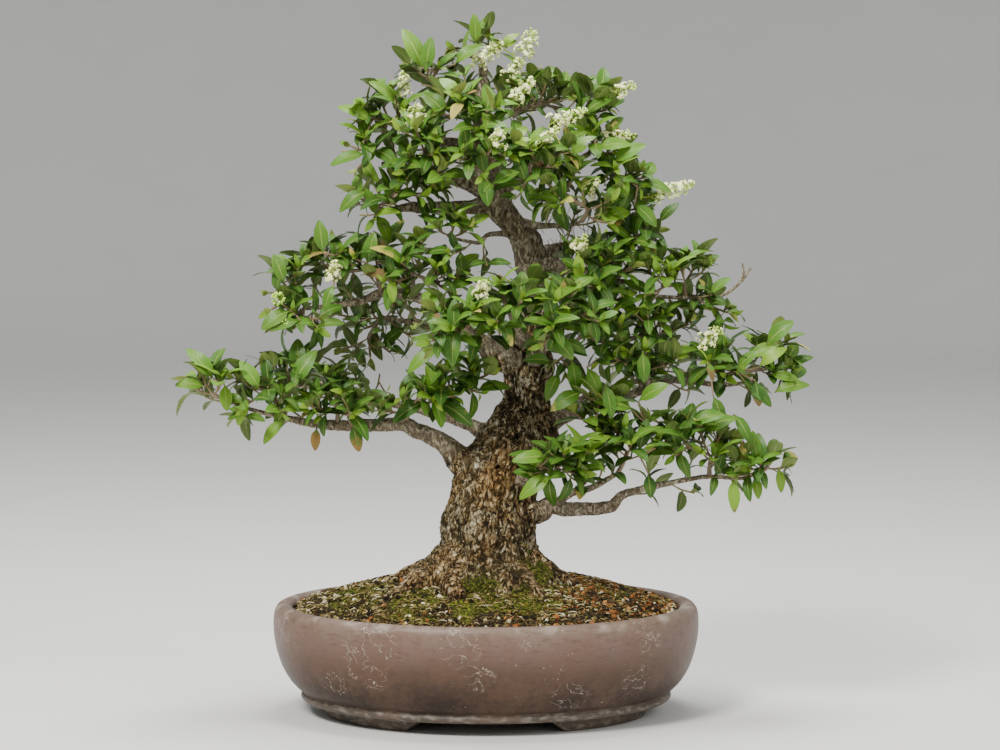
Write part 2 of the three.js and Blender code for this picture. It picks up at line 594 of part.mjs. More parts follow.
// One panicle: stalk, a slim core and florets that stand out of it in a spiral.
function bloomSolid([baseRow, tipRow, halfWidth], wood, seed, extra) {
  const base = placed(baseRow);
  const tip = placed(tipRow);
  const root = nearest(base, wood).at;
  const span = tip.clone().sub(base);
  const axis = span.clone().normalize();
  const side = new THREE.Vector3(0, 0, 1).cross(axis).normalize();
  const over = axis.clone().cross(side);
  const count = Math.round(5 + span.length() * 0.06);
  const radii = [1.1, 1.1, Math.max(1.6, halfWidth * 0.34), 1].map((radius) => radius + extra);
  const core = [root, base.clone().lerp(root, 0.4), base, tip.clone().addScaledVector(axis, extra - 1)];
  const pieces = [stick(core, radii, 4)];
  for (let i = 0; i < count; i += 1) {
    const share = (i + 0.4) / count;
    const turn = i * 2.4 + seed;
    const reach = halfWidth * (1 - 0.62 * share);
    const out = side.clone().multiplyScalar(Math.cos(turn)).addScaledVector(over, Math.sin(turn));
    const way = out.addScaledVector(axis, 0.25 + 0.9 * share).normalize();
    const width = blend(3.4, 2.4, share) + 2 * extra;
    const floret = new THREE.ConeGeometry(width, reach + extra, 3).rotateX(-Math.PI / 2);
    const turned = new THREE.Quaternion().setFromUnitVectors(new THREE.Vector3(0, 0, 1), way);
    const at = base.clone().addScaledVector(span, share).addScaledVector(way, (reach + extra) / 2);
    pieces.push(solid(floret.applyQuaternion(turned).translate(at.x, at.y, at.z)));
  }
  return joined(pieces);
}

function twigSolid({ points, radii }, extra) {
  return stick(points, radii.map((radius) => radius + extra), 3);
}

// Cuts a body clear of every one of the others that it meets.
function clearedOf(body, others) {
  return others.filter((one) => overlaps(body, one)).reduce((rest, one) => rest.subtract(one), body);
}

// One spray with its leaves: each shoot runs on into a leaf, and some carry a second.
function leafySpray(spray, wood, others) {
  const { stems, shoots } = spray.lines;
  const bare = shoots.map((shoot) => twigSolid(shoot, 0));
  const leaves = [];
  const pieces = stems.map((stem) => twigSolid(stem, 0));
  shoots.forEach((shoot, i) => {
    const isClear = (place, isEnd) => {
      const room = leafSolid(place, GAP);
      const whole = isEnd ? shootSolid(shoot, place, GAP) : room;
      return !overlaps(room, wood) && !others.some((one) => overlaps(whole, one.body))
        && !leaves.some((one) => overlaps(room, one))
        && !bare.some((one, k) => k !== i && overlaps(room, one));
    };
    const places = LEAF_PLACES.map(([pair, which]) => leafPlace(shoot, spray.seed + 7 * i, pair, which));
    const wanted = (spray.number + i) % SECOND_LEAF_EVERY === 0 ? 2 : 1;
    const kept = [];
    for (const place of places) {
      if (kept.length < wanted && isClear(place, kept.length === 0 && places.indexOf(place) < 2)) {
        kept.push(place);
        leaves.push(leafSolid(place, 0));
      }
    }
    const hasEndLeaf = places.slice(0, 2).includes(kept[0]);
    pieces.push(hasEndLeaf ? shootSolid(shoot, kept[0], 0) : bare[i]);
    pieces.push(...kept.slice(hasEndLeaf ? 1 : 0).map((place) => leafSolid(place, 0)));
  });
  return biggest(clearedOf(joined(pieces), spray.neighbours));
}

// The tree: wood first, then all twigs, the panicles, and the leaves where they are clear.
function treeParts() {
  const woodLines = [TRUNK, ...Object.values(BRANCHES)].map((rows) => ({
    points: rows === TRUNK ? rows.map(([x, y, z]) => new THREE.Vector3(x, y, z)) : rows.map(placed),
    radii: rows.map((row) => row[3]),
  }));
  const woodPieces = segments(woodLines);
  const wood = woodSolid(0);
  const fatWood = woodSolid(GAP);

  // A spray that crosses an earlier one gives way: its twigs are cut clear of the earlier twigs.
  const sprays = [];
  Object.entries(SPRAYS).forEach(([name, forks], i) => {
    const lines = sprayLines(forks, woodPieces, 100 * (i + 1));
    const all = [...lines.stems, ...lines.shoots];
    const neighbours = [fatWood, ...sprays.map((one) => one.room)];
    const body = biggest(clearedOf(joined(all.map((line) => twigSolid(line, 0))), neighbours));
    const room = joined(all.map((line) => twigSolid(line, 1.5 * GAP)));
    sprays.push({ name, number: i, seed: 100 * (i + 1), lines, all, neighbours, body, room });
  });

  const carriers = [...woodPieces, ...segments(sprays.flatMap((spray) => spray.all))];
  const blooms = [];
  Object.entries(BLOOMS).forEach(([name, row], i) => {
    const neighbours = [fatWood, ...[...sprays, ...blooms].map((one) => one.room)];
    const body = biggest(clearedOf(bloomSolid(row, carriers, i, 0), neighbours));
    blooms.push({ name, body, room: bloomSolid(row, carriers, i, GAP) });
  });

  for (const spray of sprays) {
    const others = [...sprays.filter((one) => one !== spray), ...blooms];
    spray.body = leafySpray(spray, fatWood, others);
  }

  const soil = part('soil', soilSolid(fatWood), 0x66543a, 0.95);
  const leafy = sprays.map(({ name, body }) => part(`spray_${name}`, body, 0x5f8038, 0.45));
  const flowering = blooms.map(({ name, body }) => part(`bloom_${name}`, body, 0xe9e6c4, 0.6));
  return [soil, part('trunk_and_branches', biggest(wood), 0x75654c, 0.9), ...leafy, ...flowering];
}

const group = new THREE.Group();
group.name = 'privet_bonsai';
const pieces = [
  part('pot', potSolid(), 0x7d6253, 0.7),
  part('drain_screen_left', screenSolid(-DRAIN_X), 0x2b2b2b, 0.6),
  part('drain_screen_right', screenSolid(DRAIN_X), 0x2b2b2b, 0.6),
  ...treeParts(),
];

// The whole is moved so that the middle of its box stands over the zero point.
const box = new THREE.Box3();
pieces.forEach((piece) => box.expandByObject(piece));
const middle = box.getCenter(new THREE.Vector3());
for (const piece of pieces) {
  piece.geometry.translate(-middle.x, -middle.y, 0);
  group.add(piece);
}

export default group;
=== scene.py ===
"""A flowering Japanese privet bonsai in an oval clay pot, dressed over its solid model.

Lists and sizes are in millimetres from the middle of the pot's foot plane, +Z up.
Most are the ones the solids were made from, so each finer piece lies where its solid is.
"""

import math

import bpy
import mathutils
import numpy as np
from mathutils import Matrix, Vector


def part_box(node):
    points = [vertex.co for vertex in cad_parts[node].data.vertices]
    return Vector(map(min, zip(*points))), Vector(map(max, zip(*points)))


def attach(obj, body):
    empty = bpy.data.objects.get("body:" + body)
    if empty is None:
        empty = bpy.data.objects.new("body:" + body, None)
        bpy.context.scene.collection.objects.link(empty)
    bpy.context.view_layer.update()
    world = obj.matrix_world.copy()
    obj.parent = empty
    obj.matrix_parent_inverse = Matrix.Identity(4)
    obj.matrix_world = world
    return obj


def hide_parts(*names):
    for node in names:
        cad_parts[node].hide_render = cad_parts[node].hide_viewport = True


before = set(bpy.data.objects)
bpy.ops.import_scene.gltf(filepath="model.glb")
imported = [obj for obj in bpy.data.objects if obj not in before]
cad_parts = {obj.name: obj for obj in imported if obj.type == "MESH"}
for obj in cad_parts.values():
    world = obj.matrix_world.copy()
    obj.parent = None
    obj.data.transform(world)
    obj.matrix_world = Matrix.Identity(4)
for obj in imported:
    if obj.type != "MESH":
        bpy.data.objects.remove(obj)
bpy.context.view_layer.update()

# The pot's middle in the frame, in millimetres.
pot_low, pot_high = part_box("pot")
POT_MIDDLE = np.array([(pot_low[0] + pot_high[0]) * 500, (pot_low[1] + pot_high[1]) * 500, 0.0])

# Driving sizes of the pot and the soil.
POT_ROUNDNESS = 0.77
POT_HEIGHT = 110
POT_FLOOR = 26
FOOT_RADIUS = 158
DRAIN_RADIUS = 12.5
DRAIN_X = 80
SCREEN_SIZE = 36
SOIL_EDGE = 104
SOIL_MOUND = 36
SOIL_RADIUS = 193.5

# Leaves and twigs.
LEAF_LENGTH = 31
LEAF_HALF_WIDTH = 7.1
LEAF_THICKNESS = 0.5
LEAF_LIFT = 0.5
LEAF_ARCH = 0.36
TWIG_RADIUS = 2
SHOOT_RADIUS = 1.15

# The camera of the photograph. The lists give x and z as it sees them on the plane y = 0.
VIEW_X = 14
VIEW_HEIGHT = 550
VIEW_DISTANCE = 2800
VIEW_PITCH_DEGREES = 4.3
LENS = 100.8


# Trunk: x, y, z and radius of each level, from inside the soil to the top.
TRUNK = [
    [2, 0, 92, 76], [2, 0, 106, 84], [2, 0, 118, 88], [1, 0, 133, 80], [0.5, 0, 145, 69],
    [0.5, 1, 158, 57], [3, 2, 173, 49], [3, 3, 193, 46.5], [7, 4, 216, 44], [13, 6, 239, 45],
    [23, 8, 261, 46], [31, 10, 272, 43], [34, 11, 288, 36], [38, 12, 307, 27], [40.5, 12, 320, 22.5],
    [43, 12, 347, 26], [40, 10, 369, 27], [46, 8, 392, 21], [50, 4, 415, 15.5], [43, 0, 450, 14.5],
    [42, -2, 469, 15.5], [35, -4, 483, 17], [19, -6, 498, 16.5], [8, -8, 518, 14], [4, -10, 535, 13],
    [-2, -10, 574, 10], [-3, -8, 613, 7], [-3, -4, 648, 3.5],
]

# Root lobes round the trunk's foot: direction in degrees, how far each stands out, its spread.
ROOTS = [
    [208, 0.34, 20], [250, 0.16, 15], [292, 0.2, 18], [342, 0.3, 20], [22, 0.2, 20], [75, 0.26, 22],
    [128, 0.24, 20], [168, 0.2, 16],
]

# Branches: x, y, z and radius of each point, from the heart of the trunk outwards.
BRANCHES = {
    "lower_left": [
        [6, 2, 238, 10], [-23, -2, 252, 10], [-37, -6, 266, 9.3], [-50, -8, 276, 8.6], [-68, -9, 284, 8],
        [-86, -10, 289, 7.4], [-121, -12, 290, 6.5], [-161, -16, 289, 5], [-201, -20, 296, 3],
        [-240, -24, 306, 2], [-269, -27, 317, 1.6],
    ],
    "middle_left": [
        [40, 10, 345, 9], [9, 4, 362, 9], [-14, 4, 380, 7], [-38, 6, 402, 6], [-66, 8, 417, 5.5],
        [-96, 6, 422, 5], [-126, 4, 414, 4], [-151, 0, 409, 3], [-184, -4, 406, 1.8],
    ],
    "upper_left_low": [
        [14, -7, 508, 7], [-31, -8, 508, 6], [-61, -10, 506, 5.5], [-75, -12, 508, 5], [-100, -14, 504, 2.2],
    ],
    "upper_left_high": [
        [5, -9, 524, 7], [-31, -4, 536, 6.5], [-56, 0, 542, 6], [-81, 4, 547, 4.6], [-104, 6, 551, 2],
    ],
    "front_left_twig": [[30, -4, 482, 3], [2, -24, 480, 2.4], [-8, -30, 473, 2], [-31, -40, 476, 1.5]],
    "right_high": [[42, -1, 456, 6], [74, 8, 468, 4], [109, 14, 476, 3], [140, 18, 480, 2]],
    "right_high_front": [[38, -4, 490, 4], [55, -16, 489, 3.2], [80, -32, 488, 2.2], [96, -38, 494, 1.5]],
    "right_middle": [
        [46, 0, 440, 6], [65, -4, 450, 6], [100, -10, 439, 5], [121, -12, 432, 4], [137, -14, 443, 2.6],
        [146, -14, 455, 1.6],
    ],
    "right_long_twig": [
        [118, -12, 433, 3], [146, -13, 432, 2.6], [163, -14, 424, 2.3], [175, -14, 418, 2.1],
        [227, -16, 418, 1.8], [251, -18, 430, 1.5], [265, -18, 447, 1.2],
    ],
    "right_long_twig_fork": [[254, -18, 434, 1.5], [257, -18, 444, 1.2], [256, -18, 452, 0.9]],
    "right_lower": [
        [36, 8, 284, 8], [67, 8, 295, 7], [113, 10, 310, 6], [144, 12, 319, 5], [179, 14, 332, 4],
        [204, 14, 334, 3.5], [234, 14, 329, 2.5], [268, 12, 333, 1.6],
    ],
    "right_lowest": [
        [8, -4, 196, 9.5], [51, -14, 202, 8.6], [64, -16, 208, 7.5], [83, -20, 205, 7], [121, -24, 205, 6.2],
        [140, -26, 218, 4.4], [179, -30, 230, 3], [217, -32, 237, 2.3], [255, -32, 235, 1.8],
        [276, -31, 242, 1.5],
    ],
    "right_lowest_fork": [[68, -17, 208, 5], [89, -28, 222, 4], [104, -32, 224, 3.5], [132, -40, 240, 2.2]],
    "right_lowest_front": [[14, -10, 226, 5], [50, -44, 240, 3.5], [68, -60, 252, 2.2]],
    "crown_top_left": [[-3, -8, 600, 5], [-26, -6, 616, 3.4], [-50, -5, 632, 2]],
    "crown_left": [[-1, -10, 568, 6], [-36, -8, 572, 4.6], [-64, -6, 580, 3.4], [-88, -4, 588, 2]],
    "crown_front_high": [[-2, -10, 572, 5], [-6, -24, 582, 3.6], [-11, -32, 592, 2]],
    "crown_front_low": [[4, -9, 536, 5], [2, -30, 540, 3.6], [0, -44, 546, 2]],
    "crown_right": [
        [6, -8, 524, 6], [46, -14, 538, 4.6], [86, -14, 549, 3.4], [98, -10, 558, 2.6], [110, -6, 566, 2],
    ],
    "crown_right_front": [[40, -12, 536, 3.6], [46, -30, 542, 2.6], [47, -40, 545, 2]],
    "crown_right_top": [[-3, -8, 590, 5], [22, -6, 600, 3.6], [46, -4, 608, 2]],
    "front_left": [[40, 8, 352, 7], [14, -34, 366, 5], [-8, -70, 380, 3], [-17, -86, 384, 2]],
    "front_middle": [[42, 8, 366, 6], [34, -36, 382, 4.4], [26, -72, 398, 2.8], [23, -84, 402, 2]],
    "front_right": [[43, 8, 350, 7], [58, -36, 368, 5], [70, -70, 388, 3], [73, -84, 395, 2]],
    "back_lower_left": [[28, 12, 268, 8], [-20, 42, 290, 6], [-80, 58, 308, 4.4], [-136, 64, 318, 2.2]],
    "back_lower_right": [[34, 14, 286, 8], [80, 44, 306, 6], [130, 60, 326, 4], [170, 68, 340, 2.2]],
    "back_middle_left": [[42, 14, 350, 7], [0, 42, 372, 5], [-60, 60, 390, 3.6], [-96, 65, 396, 2]],
    "back_middle_right": [[50, 6, 412, 6], [70, 44, 426, 4.4], [90, 76, 440, 2.2]],
    "back_high": [[6, -6, 522, 5], [8, 34, 530, 4], [6, 82, 544, 2.2]],
    "back_top": [[-2, -8, 584, 5], [0, 24, 594, 3.4], [3, 48, 603, 2]],
}

# Leafy sprays: each fork has a hub and the tips of the shoots that leave it.
# The first hub grows from the nearest wood, a second one from the first.
SPRAYS = {
    "crown_top": [[[-4, -2, 654], [[-10, 2, 674], [16, -10, 666], [-30, -8, 664]]]],
    "crown_top_left": [[[-58, -6, 636], [[-62, -4, 660], [-76, 2, 648], [-48, -26, 644], [-40, 12, 655]]]],
    "crown_left": [
        [[-98, -4, 592], [[-124, -6, 602], [-108, 4, 622], [-84, -30, 604]]],
        [[-116, 6, 562], [[-134, 4, 568], [-120, -18, 576], [-128, 10, 546]]],
    ],
    "crown_left_low": [
        [[-110, -18, 508], [[-128, -14, 518], [-112, -30, 496], [-92, -34, 522]]],
        [[-78, -22, 526], [[-60, -36, 534], [-66, -42, 518], [-44, -26, 524]]],
    ],
    "front_left_twig": [[[-38, -44, 480], [[-48, -50, 486], [-30, -54, 496], [-18, -50, 486]]]],
    "crown_left_face": [
        [[-62, -36, 560], [[-70, -54, 584], [-52, -62, 560], [-80, -50, 545], [-44, -56, 536]]],
    ],
    "crown_front_high": [
        [[-12, -40, 600], [[-28, -58, 616], [8, -62, 606], [-44, -52, 600], [-8, -66, 584]]],
    ],
    "crown_front_low": [[[0, -54, 552], [[-22, -76, 560], [6, -82, 566], [30, -72, 572], [-4, -78, 538]]]],
    "crown_front_right": [[[48, -50, 548], [[44, -74, 566], [66, -66, 548], [36, -72, 528], [82, -60, 566]]]],
    "crown_right_top": [
        [[54, -4, 610], [[60, -4, 630], [76, 2, 620], [40, -24, 626], [58, 18, 622]]],
        [[96, -4, 602], [[90, 6, 618], [114, -2, 620], [120, -12, 604], [100, -28, 600]]],
    ],
    "crown_right": [
        [[118, -4, 560], [[134, -2, 552], [126, -22, 562], [106, -34, 578]]],
        [[132, -14, 536], [[146, -16, 542], [130, -36, 544], [152, -30, 528]]],
    ],
    "right_high_front": [
        [[102, -46, 506], [[122, -56, 514], [96, -60, 524], [120, -50, 492]]],
        [[76, -44, 522], [[88, -58, 540], [62, -58, 530], [74, -62, 510], [56, -44, 514]]],
    ],
    "crown_right_low": [
        [[138, 4, 508], [[146, -8, 518], [156, 4, 508], [126, -32, 506], [130, 14, 520]]],
        [[154, 12, 486], [[166, 6, 472], [146, -26, 472], [170, 18, 486]]],
    ],
    "crown_back_high": [[[4, 56, 608], [[-26, 74, 622], [22, 76, 628], [50, 64, 604], [-50, 64, 596]]]],
    "crown_back_low": [[[6, 92, 548], [[-52, 94, 560], [-2, 116, 556], [52, 102, 552], [10, 108, 526]]]],
    "middle_left_tip": [
        [[-188, -6, 396], [[-210, 4, 390], [-192, -24, 402], [-168, -30, 396]]],
        [[-198, -2, 428], [[-208, 0, 442], [-216, -6, 422], [-188, -18, 446], [-214, -12, 406]]],
    ],
    "middle_left_top": [
        [[-112, 0, 446], [[-98, -6, 470], [-130, -26, 456], [-114, 20, 468]]],
        [[-158, -2, 446], [[-164, -2, 472], [-146, -22, 460], [-176, 16, 452]]],
    ],
    "middle_left_front": [
        [[-74, -34, 442], [[-84, -54, 452], [-64, -30, 472], [-98, -50, 434]]],
        [[-46, -32, 432], [[-50, -52, 446], [-26, -38, 440], [-36, -44, 424]]],
    ],
    "middle_left_back": [
        [[-104, 68, 398], [[-122, 84, 386], [-76, 98, 378], [-148, 66, 400], [-90, 78, 416]]],
        [[-118, 62, 376], [[-142, 60, 366], [-116, 72, 358], [-96, 62, 362]]],
    ],
    "lower_left_tip": [[[-276, -28, 322], [[-284, -26, 338], [-296, -22, 328], [-266, -40, 336]]]],
    "lower_left_middle": [
        [[-196, -8, 326], [[-208, 2, 350], [-188, -20, 348], [-176, 22, 348]]],
        [[-228, -24, 326], [[-242, -22, 338], [-220, -10, 346], [-246, -40, 308], [-206, -42, 302]]],
    ],
    "lower_left_inner": [
        [
            [-150, -22, 314],
            [[-158, -26, 336], [-146, -8, 340], [-126, -34, 316], [-176, -42, 308], [-134, -46, 300]],
        ],
    ],
    "lower_left_near": [
        [[-78, -22, 306], [[-84, -36, 314], [-62, -44, 326], [-98, -24, 304]]],
        [[-50, -30, 326], [[-40, -40, 340], [-32, -42, 318], [-52, -48, 314]]],
        [[-18, -20, 332], [[-14, -30, 346], [2, -24, 340], [-8, -34, 322]]],
    ],
    "lower_left_back": [[[-146, 68, 324], [[-154, 92, 328], [-198, 64, 332], [-102, 98, 322]]]],
    "front_left": [
        [[-22, -96, 388], [[-54, -116, 374], [-34, -128, 386], [-12, -122, 402], [-52, -96, 402]]],
    ],
    "front_middle": [[[22, -92, 408], [[14, -112, 428], [36, -122, 414], [10, -124, 392], [46, -90, 432]]]],
    "front_right": [
        [[74, -92, 400], [
            [70, -120, 412], [88, -110, 422], [66, -126, 388], [102, -100, 402], [58, -114, 372],
        ]],
    ],
    "right_middle": [
        [[116, -36, 440], [[100, -60, 452], [126, -52, 458], [146, -40, 448], [112, -70, 430]]],
        [[112, -30, 406], [[92, -46, 412], [126, -48, 404], [140, -30, 416]]],
        [[88, -16, 372], [[72, -24, 376], [104, -32, 384], [70, -30, 352]]],
    ],
    "right_middle_tip": [
        [[200, -14, 432], [[194, -12, 452], [212, -4, 456], [224, -22, 408], [242, -20, 402]]],
        [[176, -22, 430], [[162, -30, 446], [184, -36, 442], [162, -36, 420]]],
    ],
    "right_middle_back": [[[96, 84, 446], [[80, 108, 456], [120, 96, 462], [140, 76, 440]]]],
    "right_lower_tip": [
        [[236, -2, 346], [[240, -12, 366], [224, -28, 352], [252, -24, 344]]],
        [[282, 14, 346], [[278, 20, 372], [292, 16, 374], [302, 12, 352], [306, 6, 334]]],
    ],
    "right_lower_middle": [
        [[156, -30, 348], [[130, -52, 356], [160, -48, 362], [190, -38, 356], [176, 10, 372]]],
        [[168, -16, 386], [[150, -42, 400], [176, -32, 396], [202, 0, 392]]],
        [[126, -36, 370], [[106, -50, 376], [114, -50, 356], [134, -50, 388]]],
    ],
    "right_lower_back": [[[178, 72, 346], [[182, 94, 352], [230, 72, 346], [132, 100, 350]]]],
    "right_lowest_front": [
        [[74, -66, 242], [[54, -88, 248], [60, -86, 232], [78, -98, 260], [102, -88, 262], [96, -80, 240]]],
    ],
    "right_lowest_middle": [
        [[142, -46, 262], [[130, -62, 286], [162, -56, 290], [146, -76, 270], [186, -52, 276]]],
        [[108, -50, 286], [[88, -60, 302], [114, -64, 312], [128, -54, 318]]],
    ],
    "right_lowest_outer": [
        [[226, -36, 258], [[216, -42, 280], [236, -36, 280], [250, -30, 268], [232, -52, 258]]],
        [[198, -42, 272], [[184, -50, 294], [202, -58, 292], [190, -58, 258]]],
    ],
    "right_lowest_tip": [
        [[284, -31, 248], [[288, -30, 256], [300, -26, 246], [274, -42, 250], [254, -48, 238]]],
    ],
}

# Flower panicles: start, tip and half-width of each. The stalk grows from the nearest twig.
BLOOMS = {
    "top_long": [[-14, -20, 648], [14, -24, 668], 9],
    "top_upright": [[36, -8, 652], [46, -10, 680], 11],
    "top_low": [[20, -14, 634], [34, -18, 652], 7],
    "top_below": [[26, -40, 612], [46, -46, 632], 8],
    "left_slender": [[-80, -18, 616], [-82, -20, 640], 5],
    "left_round": [[-70, -40, 590], [-69, -50, 605], 11],
    "front_small": [[10, -84, 566], [14, -94, 581], 8],
    "front_right_small": [[54, -66, 568], [70, -72, 583], 7],
    "front_right_long": [[64, -46, 590], [97, -50, 602], 7],
    "right_high_long": [[118, -8, 616], [147, -10, 628], 7],
    "right_long": [[113, -22, 574], [146, -24, 580], 6],
    "right_small": [[100, -42, 520], [110, -50, 531], 6],
    "right_longest": [[163, -8, 518], [205, -10, 529], 9],
    "centre_small": [[90, -54, 462], [98, -62, 477], 7],
    "left_small": [[-153, -26, 434], [-150, -34, 450], 8],
    "centre_front": [[-4, -112, 416], [-2, -122, 431], 8],
    "right_lower": [[214, -36, 368], [232, -40, 384], 9],
    "back_top": [[38, 88, 606], [44, 102, 624], 8],
}


# Leaves that stand out on their own in front: foot x, y, z, the way they point in x, y, z, size,
# age (0 bright, 1 dark, where the dark end is partly painted shade) and how worn they are.
LONE_LEAVES = [
    # The left end and the lower left branch.
    [-274, -38, 336, -0.55, -0.2, 0.85, 1.2, 0.45, 0.0],
    [-283, -34, 328, -1.0, -0.3, 0.2, 0.9, 0.4, 0.0],
    [-262, -38, 330, 0.1, -0.3, -1.0, 0.85, 0.3, 0.0],
    [-238, -36, 315, -0.5, -0.3, -1.0, 0.9, 0.15, 0.15],
    [-202, -32, 294, -0.9, -0.3, -0.8, 1.0, 0.25, 0.3],
    [-170, -30, 286, -0.1, -0.3, -1.0, 0.7, 0.5, 0.75],
    [-134, -32, 288, 0.3, -0.4, -1.0, 0.85, 0.9, 0.6],
    [-62, -30, 311, -1.0, -0.4, -0.35, 1.1, 1.0, 0.35],
    [-47, -36, 312, 1.0, -0.4, -0.6, 1.35, 1.0, 0.35],
    [-192, -34, 330, 0.5, -0.2, 1.0, 1.25, 0.6, 0.0],
    [-228, -36, 326, -0.5, -0.3, 1.0, 1.0, 0.3, 0.0],
    # The middle left.
    [-163, -34, 462, -0.1, -0.2, 1.0, 1.05, 0.7, 0.0],
    [-202, -30, 432, -0.3, -0.2, 1.0, 0.95, 0.75, 0.0],
    [-118, -38, 452, 0.2, -0.2, 1.0, 1.0, 0.65, 0.0],
    [-152, -42, 430, -0.4, -0.4, -0.8, 0.85, 0.7, 0.1],
    [-95, -54, 436, 0.1, -0.4, -1.0, 0.75, 0.1, 0.3],
    [-196, -30, 404, -0.9, -0.3, -0.5, 1.1, 0.6, 0.0],
    [-186, -32, 394, -1.0, -0.3, -0.3, 1.05, 0.7, 0.0],
    [-48, -74, 367, -1.0, -0.4, -0.6, 1.2, 0.4, 0.0],
    # The crown.
    [-10, -18, 670, -0.05, -0.25, 1.0, 0.95, 0.5, 0.0],
    [-64, -36, 646, -0.35, -0.2, 1.0, 1.3, 0.5, 0.0],
    [-60, -40, 642, 0.15, -0.2, 1.0, 1.1, 0.55, 0.0],
    [-30, -26, 650, 0.7, -0.3, 0.7, 1.0, 0.5, 0.0],
    [-88, -20, 612, -0.9, -0.3, 0.8, 1.1, 0.45, 0.0],
    [-114, -22, 592, -1.0, -0.2, 0.7, 1.15, 0.35, 0.0],
    [-120, -22, 560, -1.0, -0.3, -0.15, 1.15, 0.5, 0.0],
    [-118, -20, 524, -0.9, -0.3, -0.5, 1.1, 0.7, 0.0],
    [128, -36, 552, 0.85, -0.3, 0.6, 1.15, 0.4, 0.0],
    [112, -40, 566, 0.9, -0.3, 0.3, 1.0, 0.35, 0.0],
    [148, -30, 510, 0.8, -0.3, -0.7, 1.0, 0.7, 0.0],
    [92, -70, 462, 0.05, -0.35, -1.0, 0.9, 0.05, 0.25],
    # The right side.
    [157, -60, 363, 0.05, -0.3, -1.0, 1.0, 0.75, 0.0],
    [153, -64, 313, 1.0, -0.4, 0.62, 1.15, 0.45, 0.1],
    [147, -64, 304, -1.0, -0.4, 0.5, 1.15, 0.5, 0.0],
    [101, -60, 347, 0.5, -0.4, -0.9, 1.0, 0.5, 0.2],
    [215, -50, 282, 1.0, -0.4, 0.62, 1.2, 0.55, 0.0],
    [249, -44, 300, 0.6, -0.3, -0.9, 1.05, 0.7, 0.0],
    [290, -16, 322, 1.0, -0.3, 0.5, 1.05, 0.6, 0.0],
    [262, -20, 330, 0.8, -0.3, -0.5, 1.0, 0.7, 0.0],
    [192, -54, 270, 0.5, -0.35, 1.0, 1.0, 0.7, 0.3],
    [228, -40, 318, 0.4, -0.3, -1.0, 0.95, 0.8, 0.0],
    [274, -20, 348, 0.8, -0.3, 0.7, 1.05, 0.15, 0.0],
    [281, -14, 371, 0.8, -0.2, 0.7, 1.15, 0.6, 0.0],
    [74, -40, 342, -0.5, -0.3, -0.9, 1.0, 0.7, 0.0],
    [86, -44, 354, 0.2, -0.3, -1.0, 1.0, 0.5, 0.0],
    [66, -36, 352, -0.8, -0.3, 0.2, 0.9, 0.8, 0.0],
    [92, -40, 338, 0.9, -0.3, -0.6, 0.95, 0.6, 0.0],
    [222, -48, 352, 0.3, -0.4, -0.8, 0.6, 0.5, 0.75],
    [270, -20, 334, 0.15, -0.3, -1.0, 0.85, 1.0, 0.55],
    [284, -10, 340, 1.0, -0.3, -0.1, 1.0, 0.4, 0.0],
    [264, -10, 356, 0.8, -0.2, 0.5, 1.05, 0.4, 0.0],
    [96, -60, 322, -1.0, -0.5, -0.35, 1.1, 0.6, 0.4],
    [66, -90, 238, -1.0, -0.4, -0.5, 1.2, 0.4, 0.25],
    [62, -96, 256, -1.0, -0.4, 0.1, 1.1, 0.35, 0.0],
    [120, -66, 330, 0.2, -0.4, -1.0, 1.1, 0.65, 0.0],
    [204, -60, 290, 0.8, -0.4, 0.4, 1.15, 0.55, 0.0],
    [248, -44, 234, 0.05, -0.35, -1.0, 1.05, 0.1, 0.3],
    [270, -38, 238, 0.2, -0.3, -1.0, 0.75, 0.4, 0.0],
    [294, -32, 246, 0.15, -0.2, -1.0, 0.8, 0.25, 0.1],
    [272, -34, 252, -0.1, -0.3, 1.0, 0.95, 0.6, 0.0],
    [163, -46, 240, 0.1, -0.3, -1.0, 0.8, 1.0, 0.0],
]

# Tight clusters of green buds: x, y and z of each and its reach.
BUD_CLUSTERS = [[-208, -34, 416, 9], [-202, -34, 392, 7], [-72, -60, 389, 4]]


# Tangles of bare twigs inside the tree: x, y and z of the middle, reach and count of each.
TANGLES = [
    [84, -6, 500, 26, 26], [-160, -16, 396, 22, 22], [-42, 0, 500, 26, 18], [-62, -8, 566, 30, 18],
    [20, -6, 566, 30, 18], [62, -4, 560, 28, 14], [120, -6, 430, 30, 18], [150, -10, 350, 30, 18],
    [-110, -8, 420, 26, 14], [70, 0, 470, 24, 16],
]
# Open places in and beside the foliage, as the camera sees them: x, z and reach. No leaf lies in them.
OPEN_PLACES = [
    [-100, 340, 18], [-158, 560, 30], [-46, 678, 20], [190, 490, 16], [168, 566, 14], [-240, 420, 26],
    [-128, 500, 8],
]


# Plain helpers: places, draws and noise.


def placed(rows):
    """Moves listed points along their lines of sight: x and z grow with the depth y behind the plane y = 0.

    Rows may also hold a radius, which stays as it is.
    """
    rows = np.array(rows, float)
    depth = 1 + rows[..., 1] / VIEW_DISTANCE
    for axis, eye in ((0, VIEW_X), (2, VIEW_HEIGHT)):
        rows[..., axis] = eye + (rows[..., axis] - eye) * depth
    return rows


def draw(seed, index):
    """An even draw between 0 and 1: the broken-off part of a large sine."""
    wave = math.sin(seed * 12.9898 + index * 78.233) * 43758.5453
    return wave - math.floor(wave)


def unit(vectors):
    """Vectors divided by their lengths."""
    return vectors / np.maximum(np.linalg.norm(vectors, axis=-1, keepdims=True), 1e-9)


def ease(value, low, high):
    """A smooth step from 0 at low to 1 at high."""
    share = np.clip((value - low) / (high - low), 0, 1)
    return share * share * (3 - 2 * share)


